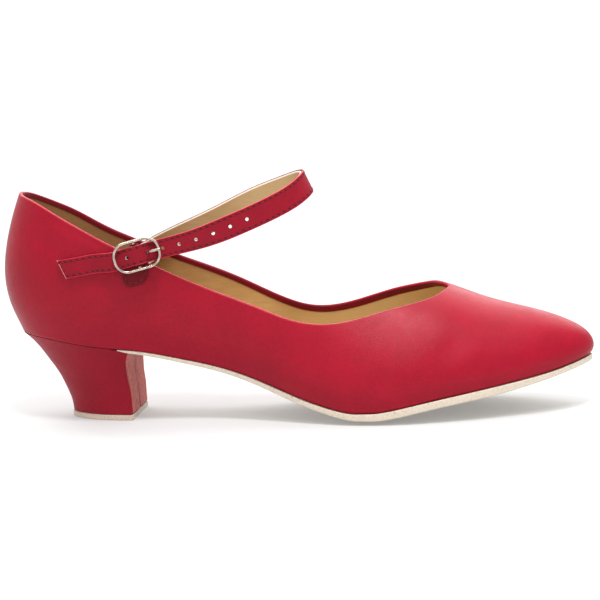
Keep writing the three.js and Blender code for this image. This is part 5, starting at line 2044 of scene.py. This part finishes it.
@dataclass
class Buckle:
    """The oval buckle: frame, bar, prong, and the stitched tab that holds it to the upper."""

    last: Last
    strap: Strap
    finishes: Finishes
    length: float = 20.5
    width: float = 13.5
    corner: float = 6.0
    band: float = 1.2
    depth: float = 2.4
    inner_face: float = 5.0
    bar_radius: float = 0.7
    bar_out: float = 2.7
    prong_radius: float = 0.6
    eye_radius: float = 1.5
    eye_wire: float = 0.5
    tab_width: float = 11.2
    tab_length: float = 16.0
    tab_lean: float = 0.27
    tab_thickness: float = 1.2
    tab_stitch_inset: float = 1.3
    sleeve: float = 0.9
    sleeve_length: float = 3.4
    band_power: float = 0.6
    lug_power: float = 0.5
    lug_half: tuple[float, float] = (1.05, 0.525)
    lug_cover: float = 0.4

    def oval(self, inset: float, steps: int = 20) -> tuple[Array, Array]:
        """A rounded rectangle that lies a distance inside the buckle's outline.

        Args:
            inset: the distance.
            steps: points in each corner.

        Returns:
            The x and y of its points.
        """
        half_long, half_wide = self.length / 2.0 - inset, self.width / 2.0 - inset
        corner = self.corner - inset
        xs, ys = [], []
        for start, cx, cy in ((0.0, 1, 1), (90.0, -1, 1), (180.0, -1, -1), (270.0, 1, -1)):
            angles = np.radians(start + np.linspace(0.0, 90.0, steps))
            xs.append(cx * (half_long - corner) + corner * np.cos(angles))
            ys.append(cy * (half_wide - corner) + corner * np.sin(angles))
        return np.concatenate(xs), np.concatenate(ys)

    def frame_skin(self) -> Skin:
        """The frame: a rounded flat band carried round the oval.

        Returns:
            The frame as a closed skin.
        """
        rows = []
        half_band, half_depth = self.band / 2.0, self.depth / 2.0
        for angle in angles_round(20):
            x = half_band * squarer(math.cos(angle), self.band_power)
            z = half_depth * squarer(math.sin(angle), self.band_power)
            xs, ys = self.oval(half_band - x)
            rows.append(self.strap.place(xs, ys, np.full(len(xs), self.inner_face + half_depth + z)))
        return Skin.of_rings(np.stack(rows, axis=1), wrap=True)

    def rod(self, route: Array, radii: Array, sides: int = 16) -> Skin:
        """A round rod along a route in the buckle's middle plane, or along its bar."""
        way = unit(np.gradient(route, axis=0))
        first = unit(np.cross(way, self.strap.up + 0.01 * self.strap.along))
        ring = circle(sides, first[:, None, :], np.cross(way, first)[:, None, :])
        return Skin.of_rings(route[:, None, :] + ring * radii[:, None, None])

    def metal(self) -> Skin:
        """Bar, lugs and prong.

        Returns:
            The three as one skin.
        """
        strap = self.strap
        reach = self.width / 2.0 - self.band / 2.0
        levels = np.linspace(-reach, reach, 9)
        bar_route = strap.place(0.0, levels, self.bar_out)
        ring = circle(16, strap.along, strap.out)
        made = [Skin.of_rings(bar_route[:, None, :] + ring[None] * self.bar_radius)]
        angles = np.radians(np.arange(0, 360, 30))
        half_along, half_level = self.lug_half
        along = half_along * squarer(np.cos(angles), self.lug_power)
        level = half_level * squarer(np.sin(angles), self.lug_power)
        lug_top = self.inner_face + self.depth - self.lug_cover
        outwards = np.linspace(self.bar_out - self.bar_radius, lug_top, 8)
        for sign in (-1.0, 1.0):
            rings = [strap.place(along, sign * reach + level, outward) for outward in outwards]
            made.append(Skin.of_rings(np.stack(rings)))
        return gathered(made + [self.prong()])

    def prong(self) -> Skin:
        """The prong, from its eye on the bar up through the hole and down over the frame.

        Returns:
            The prong and its eye as one skin.
        """
        rest = self.inner_face + self.depth + self.last.gap + self.prong_radius
        rows = table([(0.146, 0.0), (0.302, 0.054), (0.410, 0.268), (0.507, 0.643), (0.644, 0.964),
                      (0.800, 1.0), (1.020, 1.0)])
        knots = np.concatenate([[0.0], np.cumsum(np.hypot(np.diff(rows[0]), np.diff(rows[1])))])
        steps, point_length, bluntness = 60, 0.035, 0.02
        at = np.linspace(0.0, knots[-1], steps)
        across = NaturalSpline(knots, rows[0])(at) * self.length / 2.0
        outward = mix(self.bar_out, rest, NaturalSpline(knots, rows[1])(at))
        route = self.strap.place(across, 0.0, outward)
        left = 1.0 - np.linspace(0.0, 1.0, steps)
        made = self.rod(route, self.prong_radius * np.sqrt(np.clip(left / point_length, bluntness, 1.0)))
        rings = []
        section = angles_round(10)
        for angle in np.linspace(0.0, 2.0 * math.pi, 24, endpoint=False):
            radius = self.eye_radius + self.eye_wire * np.cos(section)
            rings.append(self.strap.place(radius * math.cos(angle), self.eye_wire * np.sin(section),
                                          self.bar_out + radius * math.sin(angle)))
        return made.joined(Skin.of_rings(np.stack(rings), wrap=True))

    def tab_half(self, drop: Array) -> Array:
        """Half the tab's width: straight, then rounded at its lower end."""
        start = self.tab_length - 0.8 * self.tab_width / 2.0
        end = np.clip((drop - start) / (self.tab_length - start), 0.0, 1.0)
        return self.tab_width / 2.0 * np.sqrt(np.maximum(0.0, 1.0 - 0.8 * end**2))

    def tab_point(self, across: Array, drop: Array, lift: Array) -> Array:
        """Points on the tab, which hangs straight down the upper's side.

        Args:
            across: places across the tab.
            drop: distance down from its top.
            lift: height over the upper's face.

        Returns:
            The points.
        """
        sleeve_outer = self.bar_radius + self.last.gap + self.sleeve
        level = 2.0 * sleeve_outer - drop
        lean = self.tab_lean * np.maximum(0.0, sleeve_outer - level)
        target = self.strap.place(across - lean, level, np.zeros_like(across))
        point, normal = self.last.face_at(Side.OUTER, target[..., 0], target[..., 2])
        return point + normal * lift[..., None]

    def tab(self) -> Skin:
        """The tab's plate with softened edges.

        Returns:
            The plate as a closed skin.
        """
        drops = np.concatenate([[0.0, 0.12, 0.35], np.linspace(0.8, self.tab_length - 1.0, 36),
                                self.tab_length - np.array([0.7, 0.45, 0.25, 0.12, 0.04, 0.0])])
        low, high = self.last.gap, self.last.gap + self.tab_thickness
        brim = np.array([1.0, 0.985, 0.95, 0.9])
        shares = np.concatenate([brim, np.linspace(0.82, -0.82, 15), -brim[::-1]])
        half = self.tab_half(drops)
        rows = []
        for outer in (True, False):
            for share in shares if outer else shares[::-1]:
                pull = np.clip(1.0 - (1.0 - abs(share)) / 0.06, 0.0, 1.0)
                end = np.clip(1.0 - np.minimum(drops, self.tab_length - drops) / 0.4, 0.0, 1.0)
                sink = 0.45 * (1.0 - np.sqrt(1.0 - np.maximum(pull, end) ** 2 * 0.98))
                groove = 0.13 * np.exp(-((half * (1.0 - abs(share)) - self.tab_stitch_inset) / 0.4) ** 2)
                lift = (high - sink - groove) if outer else np.full_like(drops, low) + sink * 0.4
                rows.append(self.tab_point(share * half, drops, lift))
        return Skin.of_rings(np.stack(rows, axis=1))

    def sleeves(self) -> Skin:
        """The two loops of the tab that wrap the bar either side of the prong's eye.

        Returns:
            Both loops as one skin.
        """
        made = []
        half, angles = self.sleeve_length / 2.0, angles_round(28)
        for sign in (-1.0, 1.0):
            middle = sign * (half + 2.0 * self.prong_radius + self.last.gap)
            rings = []
            for level in middle + np.linspace(-half, half, 12):
                edge = min(1.0, (half - abs(level - middle)) / 0.4)
                radius = self.bar_radius + self.last.gap + self.sleeve * (0.75 + 0.25 * math.sqrt(edge))
                outward = self.bar_out + radius * np.sin(angles)
                rings.append(self.strap.place(radius * np.cos(angles), level, outward))
            made.append(Skin.of_rings(np.stack(rings)))
        return gathered(made)

    def tab_seams(self) -> list[Seam]:
        """Ends and outward direction of the stitches in a U round the tab's lower edge.

        Returns:
            Both ends and the outward direction of each stitch.
        """
        rows = []
        for sign in (-1.0, 1.0):
            for drop in np.arange(6.2, self.tab_length - 3.2, 2.4):
                ends = np.array([drop, drop + 1.6])
                rows.append((sign * (self.tab_half(ends) - self.tab_stitch_inset), ends))
        for middle in (-2.4, 0.0, 2.4):
            ends = middle + np.array([-0.8, 0.8])
            rows.append((ends, self.tab_length - 1.35 - 0.10 * ends**2))
        seams = []
        for across, drop in rows:
            points = self.tab_point(across, drop, np.full(2, self.last.gap + self.tab_thickness - 0.1))
            _, normal = self.last.face_at(Side.OUTER, points[0][0], points[0][2])
            seams.append((points[0], points[1], normal))
        return seams

    def build(self) -> list[Piece]:
        """Makes the buckle's pieces.

        Returns:
            The new objects.
        """
        oval = make_piece("buckle_frame_plated", self.frame_skin(), [self.finishes.metal], 60.0)
        metal = make_piece("buckle_prong_and_bar", self.metal(), [self.finishes.metal], 50.0)
        # The tab is in the darker copy of the leather: painted shade from the strap and buckle above it.
        tab = make_piece("buckle_tab_leather", self.tab().joined(self.sleeves()), [self.finishes.fold], 50.0)
        threads, pits = sew(self.tab_seams())
        stitches = make_piece("tab_stitches", threads, [self.finishes.red_thread])
        # Dark beads of painted shade at the needle holes.
        pitted = make_piece("tab_needle_hole_shade", pits, [self.finishes.needle_hole_shade])
        for piece, slot in ((oval, "buckle"), (metal, "buckle"), (tab, "strap"), (stitches, "strap"),
                            (pitted, "strap")):
            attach(piece, "root")
        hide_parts("buckle_frame")
        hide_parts("buckle_prong")
        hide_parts("buckle_tab")
        return [oval, metal, tab, stitches, pitted]


# Studio


class LightKind(Enum):
    """The kinds of light in the studio, by Blender's own names."""

    SKY = "SUN"
    LAMP = "AREA"
    SPOT = "SPOT"


@dataclass
class Studio:
    """A pale floor, soft white light from above, and a long lens rolled as the photo's is."""

    azimuth: float = 9.5
    elevation: float = 9.5
    roll: float = 2.6
    distance: float = 2.0
    target: Place = (0.08605, 0.0, 0.045)
    lens: float = 280.8
    shift: tuple[float, float] = (0.0008, 0.012)
    floor_size: float = 14.0
    world_strength: float = 0.88

    def back_ward(self) -> Vector:
        """Direction from the target to the camera."""
        a, e = math.radians(self.azimuth), math.radians(self.elevation)
        return Vector((math.sin(a) * math.cos(e), -math.cos(a) * math.cos(e), math.sin(e)))

    def camera(self) -> None:
        """Places the camera and rolls it about its own axis."""
        back = self.back_ward()
        right = Vector((0.0, 0.0, 1.0)).cross(back).normalized()
        up = back.cross(right)
        turn = math.radians(self.roll)
        across = right * math.cos(turn) - up * math.sin(turn)
        upward = right * math.sin(turn) + up * math.cos(turn)
        data = bpy.data.cameras.new("camera")
        data.lens, data.sensor_width, data.sensor_fit = self.lens, 36.0, "AUTO"
        data.shift_x, data.shift_y = self.shift
        data.clip_start, data.clip_end = 0.1, 60.0
        eye = add_object("camera", data)
        place = Matrix((across, upward, back)).transposed().to_4x4()
        place.translation = Vector(self.target) + back * self.distance
        eye.matrix_world = place
        bpy.context.scene.camera = eye

    def light(self, name: str, kind: LightKind, place: Place, aim: Place, **settings: object) -> None:
        """Adds a light at a place, facing another place.

        Args:
            name: name of the light.
            kind: distant sky, soft lamp or narrow spot.
            place: where it stands; for a distant sky only the direction counts.
            aim: the place that it faces.
            settings: the light's own settings.
        """
        data = bpy.data.lights.new(name, kind.value)
        for setting, value in settings.items():
            setattr(data, setting, value)
        made = add_object(name, data)
        made.rotation_mode = "QUATERNION"
        made.rotation_quaternion = (Vector(aim) - Vector(place)).to_track_quat("-Z", "Y")
        if kind is not LightKind.SKY:
            made.location = place

    def lights(self) -> None:
        """A wide sky from behind and above keeps the floor white; lamps and a spot model the leather."""
        middle = (0.0, 0.0, 0.0)
        self.light("back_light", LightKind.SKY, (-0.05, 0.9, 1.0), middle,
                   energy=2.5, angle=math.radians(70.0))
        self.light("top_light", LightKind.SKY, (-0.1, 0.1, 1.0), middle,
                   energy=0.5, angle=math.radians(50.0))
        self.light("key_light", LightKind.LAMP, (0.2, -0.4, 1.1), self.target,
                   shape="SQUARE", size=0.3, energy=9.0)
        self.light("vamp_light", LightKind.SPOT, (0.08, -0.8, 0.95), (0.152, -0.02, 0.045), energy=42.0,
                   spot_size=math.radians(7.0), spot_blend=1.0, shadow_soft_size=0.09)
        self.light("fill_light", LightKind.LAMP, (-0.4, -1.1, 0.4), self.target,
                   shape="SQUARE", size=0.5, energy=0.3)

    def floor(self) -> None:
        """Lays the pale floor, which glows a little so that the shoe's shadow stays soft."""
        half = self.floor_size / 2.0
        mesh = bpy.data.meshes.new("floor")
        corner_points = [(-half, -half, 0.0), (half, -half, 0.0), (half, half, 0.0), (-half, half, 0.0)]
        mesh.from_pydata(corner_points, [], [(0, 1, 2, 3)])
        weave = Weave("floor_white")
        weave.plain(Base_Color=(0.5, 0.5, 0.5, 1.0), Roughness=0.9, Specular_IOR_Level=0.1,
                    Emission_Color=WHITE, Emission_Strength=0.2)
        mesh.materials.append(weave.material)
        add_object("floor", mesh)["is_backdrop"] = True

    def build(self) -> None:
        """Makes floor, world, lights and camera."""
        self.floor()
        world = bpy.data.worlds.new("studio_white")
        world.use_nodes = True
        background = world.node_tree.nodes["Background"]
        background.inputs["Color"].default_value = WHITE
        background.inputs["Strength"].default_value = self.world_strength
        bpy.context.scene.world = world
        self.lights()
        bpy.context.scene.view_settings.view_transform = "Standard"
        self.camera()


# Assembly


def corners() -> list[list[float]]:
    """The shown object's lowest and highest corners as plain lists."""
    return [list(corner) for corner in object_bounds()]


def main() -> None:
    """Builds each sub-assembly in order and reports its pieces."""
    logging.basicConfig(level=logging.INFO, format="%(message)s")
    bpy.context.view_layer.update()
    last = Last()
    finishes = Finishes()
    sole = Sole(last, finishes)
    strap = Strap(last, finishes)
    assemblies = {
        "upper": Upper(last, finishes),
        "sole": sole,
        "heel": Heel(last, sole, finishes),
        "strap": strap,
        "buckle": Buckle(last, strap, finishes),
    }
    for name, assembly in assemblies.items():
        for piece in assembly.build():
            LOG.info("%s: %s, %d faces", name, piece.name, len(piece.data.polygons))
    Studio().build()


if __name__ == "__main__":
    main()
